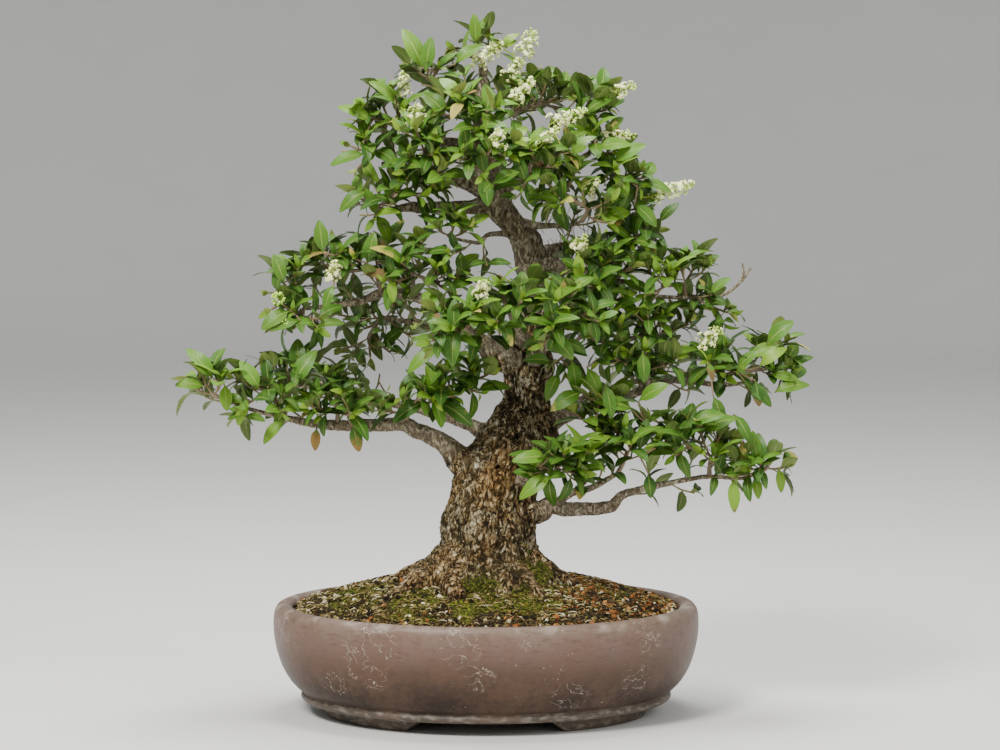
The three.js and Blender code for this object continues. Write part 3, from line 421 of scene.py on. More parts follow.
def lattice(cells, seed):
    """An even draw for each whole-numbered cell (..., 3), by mixing its three numbers as integers."""
    x, y, z = np.moveaxis(cells.astype(np.int64), -1, 0)
    mixed = x * 73856093 ^ y * 19349663 ^ z * 83492791 ^ seed * 2654435761
    mixed = (mixed ^ (mixed >> 13)) * 1274126177 & 0x7FFFFFFF
    mixed = (mixed ^ (mixed >> 16)) * 668265263 & 0x7FFFFFFF
    return mixed / 0x7FFFFFFF


def noise(points, scale, seed):
    """Soft noise between 0 and 1: draws at the corners of cells of one scale, blended inside them."""
    base = np.floor(points / scale)
    share = ease(points / scale - base, 0, 1)
    total = 0
    for corner in np.ndindex(2, 2, 2):
        weight = np.prod(np.where(corner, share, 1 - share), axis=-1)
        total = total + weight * lattice(base + np.array(corner), seed)
    return total


def rough_noise(points, scale, seed):
    """Noise added to itself twice more, each time at half the scale and half the strength."""
    weights = (1, 0.5, 0.25)
    layers = [weight * noise(points, scale * weight, seed + k) for k, weight in enumerate(weights)]
    return sum(layers) / sum(weights)


def flakes(points, scale, seed):
    """Scattered cells: the distance from each point to the border of its cell, and that cell's own draw."""
    spots = points / scale
    closest = np.full(spots.shape[:-1], 9.0)
    second = closest.copy()
    own = np.zeros_like(closest)
    for step in np.ndindex(3, 3, 3):
        cell = np.floor(spots) + np.array(step) - 1
        middle = cell + np.stack([lattice(cell, seed + k) for k in range(3)], axis=-1)
        apart = np.linalg.norm(spots - middle, axis=-1)
        closer = apart < closest
        second = np.where(closer, closest, np.minimum(second, apart))
        own = np.where(closer, lattice(cell, seed + 3), own)
        closest = np.where(closer, apart, closest)
    return second - closest, own


def round_turn(count):
    """The turns of points spaced evenly round a circle."""
    return np.linspace(0, 2 * np.pi, count, endpoint=False)


def turned(side, across, turn):
    """Directions between two square ones: side * cos + across * sin of each turn."""
    turn = np.asarray(turn, float)[..., None]
    return side * np.cos(turn) + across * np.sin(turn)


def level_points(radius, turn, height, squeeze=1.0):
    """Points round the upright axis: radius * cos, radius * sin * squeeze and the height."""
    columns = (radius * np.cos(turn), radius * np.sin(turn) * squeeze, height)
    return np.stack(np.broadcast_arrays(*columns), axis=-1)


def square_pair(way, random):
    """Two directions square to each way, turned at random."""
    side = unit(np.cross(way, random.normal(size=way.shape)))
    return side, np.cross(way, side)


def each(values):
    """Values in a first axis, with two more axes that they spread over, such as levels and sides."""
    return np.asarray(values, float)[:, None, None]


# Surfaces: closed skins made of rings, gathered into one mesh for each piece.


class Skin:
    """Gathers closed skins and writes them as one mesh.

    Each skin is a stack of rings with a pole at both ends, so it has no open edge.
    Named values are kept for every point, and the pair along and across becomes the UV map.
    """

    def __init__(self, *values):
        self.points = []
        self.quads = []
        self.tris = []
        self.quad_slots = []
        self.tri_slots = []
        self.values = {name: [] for name in (*values, "along", "across")}
        self.count = 0

    def add(self, rings, poles, slot=0, **values):
        """Adds copies of one shape: rings is (copies, levels, sides, 3) and poles is (copies, 2, 3).

        The slot is the material's number, for the whole shape or for each side.
        """
        copies, levels, sides, _ = rings.shape
        points = np.concatenate([rings.reshape(copies, -1, 3), poles], axis=1)
        ring = np.arange(sides)
        after = (ring + 1) % sides
        low = np.arange(levels - 1)[:, None] * sides
        high = low + sides
        quads = np.stack([low + ring, low + after, high + after, high + ring], axis=-1).reshape(-1, 4)
        top = (levels - 1) * sides
        foot = np.full(sides, levels * sides)
        tris = np.concatenate([
            np.stack([foot, after, ring], axis=-1), np.stack([foot + 1, top + ring, top + after], axis=-1),
        ])
        if self.is_inside_out(points[0], quads, tris):
            quads = quads[:, ::-1]
            tris = tris[:, ::-1]
        offset = self.count + each(np.arange(copies)).astype(int) * points.shape[1]
        self.points.append(points.reshape(-1, 3))
        self.quads.append((quads + offset).reshape(-1, 4))
        self.tris.append((tris + offset).reshape(-1, 3))
        sided = np.broadcast_to(slot, sides)
        self.quad_slots.append(np.tile(sided, (levels - 1) * copies))
        self.tri_slots.append(np.tile(sided, 2 * copies))
        self.count += copies * points.shape[1]
        for name, kept in self.values.items():
            grid = np.broadcast_to(np.asarray(values.get(name, 0.0), float), (copies, levels, sides))
            ends = grid[:, [0, -1]].mean(axis=2)
            kept.append(np.concatenate([grid.reshape(copies, -1), ends], axis=1).ravel())

    def add_tubes(self, paths, radii, sides, slot=0, **values):
        """Adds a round tube along each path (copies, levels, 3)."""
        rings, _ = tube_rings(paths, np.broadcast_to(radii, paths.shape[:2]), sides)
        self.add(rings, paths[:, [0, -1]], slot, **values)

    @staticmethod
    def is_inside_out(points, quads, tris):
        """True where the volume under the faces, summed as signed tetrahedra, is negative."""
        corners = np.concatenate([quads[:, [0, 1, 2]], quads[:, [0, 2, 3]], tris])
        a, b, c = (points[corners[:, k]] - points.mean(axis=0) for k in range(3))
        return np.einsum("ij,ij->i", a, np.cross(b, c)).sum() < 0

    def shape(self, name, materials):
        """The gathered skins as one object, in metres in the frame."""
        points = (np.concatenate(self.points) + POT_MIDDLE) * 0.001
        quads = np.concatenate(self.quads)
        tris = np.concatenate(self.tris)
        corners = np.concatenate([quads.ravel(), tris.ravel()])
        starts = np.concatenate([np.arange(len(quads)) * 4, len(quads) * 4 + np.arange(len(tris)) * 3])
        slots = np.concatenate([*self.quad_slots, *self.tri_slots])
        mesh = bpy.data.meshes.new(name)
        for part, rows in ((mesh.vertices, points), (mesh.loops, corners), (mesh.polygons, starts)):
            part.add(len(rows))
        mesh.vertices.foreach_set("co", points.astype(np.float32).ravel())
        mesh.loops.foreach_set("vertex_index", corners.astype(np.int32))
        mesh.polygons.foreach_set("loop_start", starts.astype(np.int32))
        mesh.polygons.foreach_set("material_index", slots.astype(np.int32))
        mesh.update(calc_edges=True)
        mesh.polygons.foreach_set("use_smooth", np.ones(len(starts), bool))
        kept = {key: np.concatenate(value) for key, value in self.values.items()}
        uv = np.stack([kept.pop("along"), kept.pop("across")], axis=-1)[corners]
        mesh.uv_layers.new(name="UVMap").data.foreach_set("uv", uv.astype(np.float32).ravel())
        for key, value in kept.items():
            mesh.attributes.new(key, "FLOAT", "POINT").data.foreach_set("value", value.astype(np.float32))
        for material in materials:
            mesh.materials.append(material)
        return in_scene(name, mesh)


def in_scene(name, data):
    """A new object with its data, linked to the scene."""
    made = bpy.data.objects.new(name, data)
    bpy.context.scene.collection.objects.link(made)
    return made


def seat(piece, nodes, slot, sharp_degrees=None):
    """Says what a finished piece rides on and which solids it stands for. The finish it takes, slot, is not
    used.

    Edges that turn by more than sharp_degrees are shaded sharp.
    """
    if sharp_degrees:
        piece.data.set_sharp_from_angle(angle=math.radians(sharp_degrees))
    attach(piece, "root")
    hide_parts(*nodes)


def smooth_path(points, levels):
    """A Catmull-Rom curve through points (..., n, k), sampled at even steps of its parameter."""
    count = points.shape[-2]
    steps = np.linspace(0, count - 1, levels)
    start = np.minimum(steps.astype(int), count - 2)
    t = (steps - start)[:, None]
    before, a, b, after = (points[..., np.clip(start + k, 0, count - 1), :] for k in (-1, 0, 1, 2))
    return 0.5 * (2 * a + (b - before) * t + (2 * before - 5 * a + 4 * b - after) * t ** 2
                  + (3 * a - before - 3 * b + after) * t ** 3)


def tube_rings(paths, radii, sides):
    """Rings of a round tube and the way out at every point: centre + radius * (side * cos + across * sin).

    The two directions square to the path are carried from level to level with no twist.
    """
    along = unit(np.gradient(paths, axis=-2))
    side = np.empty_like(along)
    # The first direction is square to the path and to an almost upright one.
    last = np.cross(along[..., 0, :], [0.03, 0.05, 1.0])
    weak = np.linalg.norm(last, axis=-1, keepdims=True) < 0.15
    last = np.where(weak, [1.0, 0.1, 0.0], last)
    for level in range(paths.shape[-2]):
        way = along[..., level, :]
        last = unit(last - way * np.sum(last * way, axis=-1, keepdims=True))
        side[..., level, :] = last
    out = turned(side[..., None, :], np.cross(along, side)[..., None, :], round_turn(sides))
    return paths[..., None, :] + out * radii[..., None, None], out


# Materials. Colours are given as they look on a screen, 0 to 255.


def tone(red, green, blue):
    """A screen colour as the linear colour that a shader takes."""
    share = np.array([red, green, blue]) / 255
    linear = np.where(share <= 0.04045, share / 12.92, ((share + 0.055) / 1.055) ** 2.4)
    return (*linear.tolist(), 1.0)


class Value:
    """One output of a node. Sums of values add the nodes that work them out, and | takes the larger."""

    def __init__(self, nodes, socket):
        self.nodes = nodes
        self.socket = socket

    def __add__(self, other):
        return self.nodes.sum("ADD", self, other)

    def __sub__(self, other):
        return self.nodes.sum("SUBTRACT", self, other)

    def __rsub__(self, other):
        return self.nodes.sum("SUBTRACT", other, self)

    def __mul__(self, other):
        return self.nodes.sum("MULTIPLY", self, other)

    def __truediv__(self, other):
        return self.nodes.sum("DIVIDE", self, other)

    def __or__(self, other):
        return self.nodes.sum("MAXIMUM", self, other)

    def __abs__(self):
        return self.nodes.sum("ABSOLUTE", self)


class Nodes:
    """Writes a node tree: every call adds one node and gives back one of its outputs."""

    def __init__(self, tree):
        self.tree = tree

    def add(self, kind, inputs, output=0, **settings):
        """Adds a node, sets it up and links or sets its named inputs."""
        made = self.tree.nodes.new(kind)
        for name, value in settings.items():
            setattr(made, name, value)
        for name, value in inputs.items():
            self.join(value, made.inputs[name])
        return Value(self, made.outputs[output])

    def join(self, value, socket):
        """Links a value to a socket, or sets the socket to a plain number, vector or colour."""
        if isinstance(value, Value):
            self.tree.links.new(value.socket, socket)
        else:
            socket.default_value = value

    def place(self, stretch=(1, 1, 1)):
        """Object coordinates, stretched along the axes."""
        spot = self.add("ShaderNodeTexCoord", {}, "Object")
        return self.add("ShaderNodeMapping", {"Vector": spot, "Scale": stretch})

    def part(self, vector, axis):
        """One axis of a vector."""
        return self.add("ShaderNodeSeparateXYZ", {"Vector": vector}, axis)

    def uv(self, axis):
        """One axis of the mesh's own map."""
        return self.part(self.add("ShaderNodeUVMap", {}), axis)

    def value(self, name):
        """A value that the mesh keeps for each point."""
        return self.add("ShaderNodeAttribute", {}, "Fac", attribute_name=name)

    def noise(self, place, scale, detail=3.0, output=0):
        """Soft noise with so many waves to the metre."""
        return self.add("ShaderNodeTexNoise", {"Vector": place, "Scale": scale, "Detail": detail}, output)

    def patches(self, place, scale, detail, low, high):
        """Patches of soft noise, from 0 where it is at low to 1 where it is at high."""
        return self.step(self.noise(place, scale, detail), low, high)

    def cells(self, place, scale, output="Distance", feature="F1"):
        """Scattered cells with so many to the metre."""
        return self.add("ShaderNodeTexVoronoi", {"Vector": place, "Scale": scale}, output, feature=feature)

    def warped(self, place, scale, reach):
        """A place pushed about by noise, up to a reach in metres."""
        inputs = {0: self.noise(place, scale, 3.0, "Color"), 1: (reach, reach, reach), 2: place}
        return self.add("ShaderNodeVectorMath", inputs, operation="MULTIPLY_ADD")

    def step(self, value, low, high):
        """A smooth step from 0 at low to 1 at high."""
        inputs = {"Value": value, "From Min": low, "From Max": high}
        return self.add("ShaderNodeMapRange", inputs, interpolation_type="SMOOTHSTEP")

    def sum(self, operation, first, second=0.0):
        """One sum of two values, such as MULTIPLY or ADD."""
        return self.add("ShaderNodeMath", {0: first, 1: second}, operation=operation)

    def mix(self, share, first, second):
        """A mix of two colours."""
        return self.add("ShaderNodeMix", {0: share, 6: first, 7: second}, 2, data_type="RGBA")

    def ramp(self, value, *stops, sharp=False):
        """Colours for a value between 0 and 1: each stop is a place and a screen colour."""
        made = self.tree.nodes.new("ShaderNodeValToRGB")
        made.color_ramp.interpolation = "CONSTANT" if sharp else "LINEAR"
        elements = made.color_ramp.elements
        while len(elements) < len(stops):
            elements.new(0.5)
        for element, (spot, *shade) in zip(elements, stops):
            element.position = spot
            element.color = tone(*shade)
        self.join(value, made.inputs["Fac"])
        return Value(self, made.outputs["Color"])

    def bump(self, height, depth, strength=1.0):
        """A bumped normal; depth is in metres."""
        return self.add("ShaderNodeBump", {"Height": height, "Distance": depth, "Strength": strength})

    def shared(self, group, inputs):
        """Places a shared group with its own values."""
        return self.add("ShaderNodeGroup", inputs, node_tree=group)

    def mottled(self, color, patch, scale, strength):
        """A colour with cloudy patches of another screen colour."""
        return self.shared(MOTTLE, {
            "Color": color, "Patch Color": tone(*patch), "Scale": scale, "Strength": strength,
        })

    def grained(self, scale, depth, strength):
        """The normal of a worn, grainy skin."""
        return self.bump(self.shared(GRAIN, {"Scale": scale}), depth, strength)

    def mossy(self, color):
        """A colour with moss over it where the mesh keeps moss."""
        return self.shared(MOSS, {"Color": color, "Amount": self.value("moss")})


def shared_group(name, inputs, outputs, fill):
    """A shader node group: inputs and outputs map socket names to Float or Color."""
    tree = bpy.data.node_groups.new(name, "ShaderNodeTree")
    for way, sockets in (("INPUT", inputs), ("OUTPUT", outputs)):
        for socket, kind in sockets.items():
            tree.interface.new_socket(socket, in_out=way, socket_type=f"NodeSocket{kind}")
    nodes = Nodes(tree)
    entry = tree.nodes.new("NodeGroupInput")
    leave = tree.nodes.new("NodeGroupOutput")
    given = {socket: Value(nodes, entry.outputs[socket]) for socket in inputs}
    for socket, result in fill(nodes, given).items():
        nodes.join(result, leave.inputs[socket])
    return tree


def fill_mottle(nodes, given):
    """Cloudy patches laid over a colour, and a finer speckle inside them."""
    place = nodes.place()
    cloud = nodes.noise(place, given["Scale"], 5.0)
    fine = nodes.noise(place, given["Scale"] * 7.3, 2.0)
    share = nodes.step(cloud * 0.65 + fine * 0.35, 0.38, 0.62) * given["Strength"]
    return {"Color": nodes.mix(share, given["Color"], given["Patch Color"])}


def fill_grain(nodes, given):
    """A worn, grainy skin: a fine grain and softer dents as one height."""
    place = nodes.place()
    fine = nodes.noise(place, given["Scale"], 3.0)
    return {"Height": fine * 0.4 + nodes.noise(place, given["Scale"] * 0.17, 2.0)}


def fill_moss(nodes, given):
    """Moss laid over a colour: yellow-green where it is thick, olive at its edges."""
    clumps = nodes.noise(nodes.place(), 420.0)
    edge = nodes.step(given["Amount"] + clumps * 0.7, 0.72, 1.0)
    green = nodes.ramp(clumps, (0.3, 23, 25, 8), (0.5, 65, 69, 19), (0.66, 122, 130, 38))
    return {"Color": nodes.mix(edge, given["Color"], green)}


MOTTLE = shared_group(
    "mottle", {"Color": "Color", "Patch Color": "Color", "Scale": "Float", "Strength": "Float"},
    {"Color": "Color"}, fill_mottle,
)
GRAIN = shared_group("grain", {"Scale": "Float"}, {"Height": "Float"}, fill_grain)
MOSS = shared_group("moss", {"Color": "Color", "Amount": "Float"}, {"Color": "Color"}, fill_moss)


def finish_material(name, fill, **sockets):
    """A material: fill gives the linked sockets of its shader, sockets are the plain ones."""
    material = bpy.data.materials.new(name)
    material.use_nodes = True
    nodes = Nodes(material.node_tree)
    shader = material.node_tree.nodes["Principled BSDF"]
    for socket, value in (sockets | fill(nodes)).items():
        nodes.join(value, shader.inputs[socket.replace("_", " ")])
    return material


# Clusters of lime scratches on the pot: x, y, z and reach of each.
STAINS = [
    [-202, -54, 92, 26], [-24, -163, 92, 26], [-6, -160, 64, 20], [84, -148, 36, 26], [148, -114, 50, 22],
    [160, -108, 88, 18], [-150, -112, 44, 24], [-130, -124, 84, 14], [40, -156, 96, 12], [196, 60, 80, 22],
    [-60, 150, 66, 26], [90, 150, 84, 22],
]


def drawn_line(nodes, upright, scale, thick):
    """Thin winding lines, where a smooth noise crosses its middle value."""
    off_line = abs(nodes.noise(nodes.place((1, 1, upright)), scale, 4.0) - 0.5)
    return 1.0 - nodes.step(off_line, 0.1 * thick, thick)


def clay(nodes):
    """Unglazed clay: darker low down and paler at the rim, partly its own tone and partly painted shade, with
    lime lines, specks and a crust on the bead.
    """
    place = nodes.place()
    height = nodes.part(place, "Z") / (POT_HEIGHT * 0.001)
    # Painted shade: this height ramp darkens the clay strongly towards the foot, as light from above would,
    # on top of the clay's own tone.
    base = nodes.ramp(
        height + (nodes.noise(place, 9.0, 2.0) - 0.5) * 0.2,
        (0.1, 27, 18, 12), (0.34, 47, 32, 22), (0.6, 79, 59, 46), (0.84, 110, 89, 80), (1.0, 122, 104, 92),
    )
    base = nodes.mottled(base, (96, 71, 54), 24.0, 0.45)
    streaks = nodes.patches(nodes.place((1, 1, 4)), 90.0, 5.0, 0.5, 0.75)
    base = nodes.mix(streaks * 0.35, base, tone(57, 39, 29))
    line = drawn_line(nodes, 1.6, 30.0, 0.0055) | drawn_line(nodes, 1.3, 66.0, 0.008)
    patch = nodes.patches(place, 12.0, 2.0, 0.6, 0.7)
    for *seat, reach in STAINS:
        seat = tuple((np.array(seat) + POT_MIDDLE) * 0.001)
        apart = nodes.add("ShaderNodeVectorMath", {0: place, 1: seat}, "Value", operation="DISTANCE")
        patch = patch | 1.0 - nodes.step(apart, reach * 0.0004, reach * 0.001)
    scratch = line * patch * nodes.patches(place, 110.0, 3.0, 0.4, 0.5)
    specks = nodes.patches(place, 330.0, 2.0, 0.73, 0.79)
    crumbly = nodes.patches(nodes.place((1, 1, 2.5)), 110.0, 6.0, 0.46, 0.68)
    crust = (1.0 - nodes.step(height, 0.185, 0.22)) * (crumbly * 0.6 + 0.24)
    rim = nodes.step(height, 0.9, 1.0) * nodes.patches(place, 45.0, 5.0, 0.5, 0.7)
    marks = scratch | specks * 0.6 | crust * 0.4 | rim * 0.5
    color = nodes.mix(marks * 0.9, base, tone(187, 178, 163))
    return {"Base Color": color, "Roughness": marks * 0.4 + 0.42, "Normal": nodes.grained(900.0, 0.0007, 0.6)}


def mesh_plastic(nodes):
    """Black plastic mesh, dusty on top."""
    return {"Base Color": nodes.mottled(tone(30, 30, 30), (84, 74, 60), 120.0, 0.6)}


def soil_bed(nodes):
    """Fine dark soil between the grains, with moss and crumbs."""
    base = nodes.ramp(
        nodes.noise(nodes.place(), 360.0, 4.0),
        (0.34, 16, 12, 8), (0.5, 41, 32, 18), (0.6, 79, 65, 38), (0.74, 144, 124, 83),
    )
    return {"Base Color": nodes.mossy(base), "Normal": nodes.grained(700.0, 0.003, 0.9)}


def soil_grain(nodes):
    """Grit: tan, cream and dark crumbs, and fired orange ones where the value warm is high."""
    tint = nodes.value("tint")
    plain = nodes.ramp(
        tint, (0.0, 20, 16, 9), (0.24, 54, 44, 26), (0.4, 108, 91, 55), (0.58, 156, 139, 90),
        (0.7, 198, 182, 134), (0.8, 38, 35, 18), (0.9, 228, 218, 184), sharp=True,
    )
    warm = nodes.ramp(
        tint, (0.0, 87, 51, 24), (0.3, 148, 92, 44), (0.6, 180, 128, 70), (0.85, 111, 66, 33), sharp=True,
    )
    color = nodes.mottled(nodes.mix(nodes.value("warm"), plain, warm), (50, 41, 23), 160.0, 0.35)
    return {"Base Color": color, "Normal": nodes.grained(1500.0, 0.0006, 0.6)}


def moss_leaf(nodes):
    """Moss: dark at the root and yellow-green at the tips."""
    tint = nodes.value("tint")
    low = nodes.ramp(tint, (0.0, 26, 26, 9), (0.5, 45, 46, 15), (1.0, 83, 75, 36))
    high = nodes.ramp(tint, (0.0, 65, 63, 23), (0.5, 101, 100, 33), (0.8, 138, 129, 61), (1.0, 163, 146, 88))
    return {"Base Color": nodes.mix(nodes.uv("X"), low, high)}


def bark(nodes):
    """Flaky bark: crisp upright flakes with dark cracks, tan to grey, with rust, moss and paler branches; the
    cracks' near-black is partly painted shade and the flake tops' near-white partly painted highlight.
    """
    upright = nodes.place((1, 1, 0.48))
    ragged = nodes.warped(nodes.warped(upright, 80.0, 0.014), 360.0, 0.005)
    edge = nodes.step(nodes.cells(ragged, 230.0, "Distance", "DISTANCE_TO_EDGE"), 0.0, 0.16)
    own = nodes.part(nodes.cells(ragged, 230.0, "Color"), "X")
    fibre = nodes.noise(ragged, 340.0, 5.0)
    chips = nodes.patches(ragged, 640.0, 4.0, 0.42, 0.6)
    height = nodes.step(fibre, 0.44, 0.56) * 0.34 + chips * 0.2 + own * edge * 0.3 + edge * 0.16
    cloud = nodes.noise(ragged, 60.0, 4.0) - 0.5
    # Painted light: the colour follows the bark's height, so cracks and hollows get painted shade and flake
    # tops painted highlights, and the value kept on the mesh adds painted shade at the trunk's foot.
    level = height * 0.68 + nodes.value("relief") * 0.4 + cloud * 0.5
    base = nodes.ramp(
        level, (0.28, 14, 9, 5), (0.41, 66, 50, 29), (0.53, 132, 110, 74), (0.67, 190, 170, 128),
        (0.84, 236, 222, 186), (1.0, 246, 238, 214),
    )
    grey = nodes.ramp(
        level, (0.28, 15, 12, 8), (0.41, 62, 55, 38), (0.53, 124, 114, 86), (0.68, 190, 180, 150),
        (0.9, 236, 230, 208),
    )
    rust = nodes.ramp(
        level, (0.28, 24, 13, 6), (0.41, 82, 51, 21), (0.53, 146, 102, 48), (0.7, 194, 154, 90),
        (0.9, 224, 194, 148),
    )
    pale = nodes.ramp(fibre, (0.32, 92, 78, 58), (0.5, 166, 151, 125), (0.66, 216, 205, 180))
    golden = nodes.patches(upright, 50.0, 4.0, 0.53, 0.66) * 0.55
    color = nodes.mix(nodes.step(nodes.value("plate"), 0.4, 0.9), base, grey)
    color = nodes.mix(nodes.value("rust") * 0.8 | golden, color, rust)
    color = nodes.mottled(color, (86, 74, 40), 22.0, 0.4)
    color = nodes.mix(nodes.value("pale"), color, pale)
    return {"Base Color": nodes.mossy(color), "Normal": nodes.bump(height, 0.0045)}


def twig_bark(nodes):
    """Thin twigs: green-yellow when young, reddish, then grey-brown with pale specks."""
    base = nodes.ramp(
        nodes.value("age"), (0.0, 135, 139, 70), (0.3, 131, 112, 70), (0.6, 121, 93, 67), (1.0, 119, 103, 81),
    )
    color = nodes.mottled(base, (142, 130, 109), 210.0, 0.5)
    return {"Base Color": color, "Normal": nodes.grained(1400.0, 0.0005, 0.7)}


def leaf_marks(nodes):
    """Where a point lies along its leaf, and the masks of the midrib and the side veins."""
    along = nodes.uv("X")
    off = abs(nodes.uv("Y") - 0.5)
    rib = 1.0 - nodes.step(off - (0.055 - along * 0.035), -0.015, 0.02)
    wave = nodes.sum("SINE", (along - off * 0.45) * 58.0)
    return along, rib, nodes.step(wave, 0.72, 1.0)


def leaf_top(nodes):
    """A leathery leaf from above: deep green, bright when young, pale midrib, some with worn patches."""
    along, rib, vein = leaf_marks(nodes)
    age = nodes.value("age")
    tint = nodes.value("tint")
    # Age runs from bright to dark green; on the inner leaves the dark end is painted shade.
    deep = nodes.ramp(age, (0.0, 136, 162, 42), (0.3, 102, 140, 36), (0.65, 78, 117, 33), (1.0, 52, 89, 29))
    cool = nodes.ramp(age, (0.0, 122, 158, 44), (0.3, 88, 134, 38), (0.65, 67, 110, 33), (1.0, 47, 84, 28))
    worn_tone = nodes.ramp(
        tint, (0.0, 171, 158, 68), (0.4, 178, 169, 88), (0.7, 131, 105, 53), (1.0, 107, 89, 54),
    )
    cloud = nodes.noise(nodes.place(), 70.0)
    color = nodes.mix(nodes.step(cloud, 0.45, 0.7) * 0.25, nodes.mix(tint, deep, cool), tone(112, 139, 49))
    color = nodes.mix(vein * 0.2, color, tone(127, 151, 75))
    color = nodes.mix(rib * 0.6, color, tone(148, 166, 83))
    worn = nodes.step(cloud * 1.1 + along * 0.5 + nodes.value("blotch"), 1.35, 1.55)
    normal = nodes.bump(cloud * 0.6 - (rib + vein * 0.5), 0.0004, 0.7)
    return {"Base Color": nodes.mix(worn, color, worn_tone), "Roughness": worn * 0.3 + 0.36, "Normal": normal}


def leaf_under(nodes):
    """The matte, paler underside of a leaf, with a raised midrib."""
    _, rib, vein = leaf_marks(nodes)
    base = nodes.ramp(nodes.value("age"), (0.0, 158, 171, 74), (0.5, 115, 137, 59), (1.0, 86, 109, 50))
    color = nodes.mix(vein * 0.2, base, tone(142, 153, 94))
    color = nodes.mix(rib * 0.7, color, tone(158, 166, 101))
    return {"Base Color": color, "Normal": nodes.bump(rib + vein * 0.4, 0.0005, 0.8)}


def petal(nodes):
    """Cream-white petals, greener down the tube and a little uneven."""
    base = nodes.ramp(
        nodes.uv("X"), (0.0, 170, 204, 76), (0.35, 232, 250, 128), (0.6, 248, 255, 184), (1.0, 250, 255, 168),
    )
    return {"Base Color": nodes.mottled(base, (246, 240, 166), 160.0, 0.4)}


def flower_bud(nodes):
    """Closed buds: cream at the tip and green at the foot, greener on the youngest."""
    along = nodes.uv("X")
    ripe = nodes.ramp(along, (0.0, 146, 188, 58), (0.4, 208, 230, 112), (1.0, 246, 250, 178))
    green = nodes.ramp(along, (0.0, 118, 164, 40), (0.5, 164, 204, 66), (1.0, 206, 230, 108))
    return {"Base Color": nodes.mix(nodes.value("tint"), ripe, green)}


def flower_stalk(nodes):
    """Yellow-green stalks, a little brown towards the foot."""
    return {"Base Color": nodes.mottled(tone(164, 196, 62), (150, 150, 62), 120.0, 0.5)}


def pale_floor(nodes):
    """A plain pale floor, very slightly cloudy."""
    return {"Base Color": nodes.mottled(tone(214, 213, 210), (208, 207, 204), 0.7, 0.5)}


CLAY = finish_material("clay", clay, Specular_IOR_Level=0.3)
MESH_PLASTIC = finish_material("mesh_plastic", mesh_plastic, Roughness=0.55)
SOIL_BED = finish_material("soil_bed", soil_bed, Roughness=0.95, Specular_IOR_Level=0.2)
SOIL_GRAIN = finish_material("soil_grain", soil_grain, Roughness=0.9, Specular_IOR_Level=0.2)
MOSS_LEAF = finish_material("moss_leaf", moss_leaf, Roughness=0.85, Specular_IOR_Level=0.2)
BARK = finish_material("bark", bark, Roughness=0.88, Specular_IOR_Level=0.2)
TWIG_BARK = finish_material("twig_bark", twig_bark, Roughness=0.7)
LEAF_TOP = finish_material("leaf_top", leaf_top, Specular_IOR_Level=0.22)
LEAF_UNDER = finish_material("leaf_under", leaf_under, Roughness=0.6)
PETAL = finish_material("petal", petal, Roughness=0.6, Sheen_Weight=0.4)
FLOWER_BUD = finish_material("flower_bud", flower_bud, Roughness=0.5)
FLOWER_STALK = finish_material("flower_stalk", flower_stalk, Roughness=0.6)
FLOOR = finish_material("pale_floor", pale_floor, Roughness=0.8)


# The pot.

# Outline of the bowl: radius and height, from the middle of the base up the wall and down inside.
BOWL = [
    [4, 15], [80, 15], [140, 14.8], [170, 14.4], [180, 13.6], [184.2, 13.6], [186.4, 15.4], [186.9, 17.6],
    [185.8, 19.9], [184.6, 21], [186, 22.6], [190.4, 26], [198, 34.3], [205.2, 46.5], [210.4, 61],
    [213.4, 75], [214.4, 86], [214.2, 96], [213, 103], [210.4, 107.6], [206.4, 109.9], [201.6, 110],
    [197.2, 108.6], [194.4, 104], [192.8, 96], [191.6, 82], [191, 64], [187, 51], [180, 40], [164, 30.4],
    [141, 26], [80, 26], [4, 26],
]
FOOT_DIRECTIONS = [40, 140, 220, 320]
FOOT_HEIGHT = 17
FOOT_SQUARENESS = 0.35
# Levels of a drain hole's cutter: how far it flares beyond the hole, and its height.
DRAIN_FLARE = [[2, 5], [1.6, 13], [0.6, 15], [0, 17], [0, 24], [0.8, 26.5], [3, 34]]
STRAND_COUNT_IN_SCREEN = 15
STRAND_RADIUS = 0.34
# Levels and sides of the bowl and of a foot, and sides of a drain cutter.
BOWL_LEVELS, BOWL_SIDES = 113, 220
FOOT_LEVELS, FOOT_SIDES = 42, 28
DRAIN_SIDES = 48


def one_shape(rings, poles, **values):
    """A skin with one shape and its named values."""
    skin = Skin(*values)
    skin.add(rings[None], np.array(poles, float)[None], **values)
    return skin


def worked(piece, tool, operation):
    """Joins a tool shape to a piece or cuts it out of the piece, and then removes the tool."""
    change = piece.modifiers.new("work", "BOOLEAN")
    change.object = tool
    change.operation = operation
    change.solver = "EXACT"
    made = bpy.data.meshes.new_from_object(piece.evaluated_get(bpy.context.evaluated_depsgraph_get()))
    piece.modifiers.clear()
    piece.data = made
    bpy.data.objects.remove(tool)


def bowl_skin():
    """The bowl: its outline turned round the upright axis, squeezed in y and uneven by under 1 mm."""
    outline = smooth_path(np.array(BOWL, float), BOWL_LEVELS)
    radius = outline[:, :1]
    height = outline[:, 1:]
    rings = level_points(radius, round_turn(BOWL_SIDES), height, POT_ROUNDNESS)
    uneven = np.abs(rough_noise(rings, 70, 5) - 0.5)
    rings[..., :2] *= 1 - (0.008 * ease(radius, 150, 190) * uneven)[..., None]
    return one_shape(rings, [[0, 0, BOWL[0][1]], [0, 0, BOWL[-1][1]]], along=height / POT_HEIGHT)


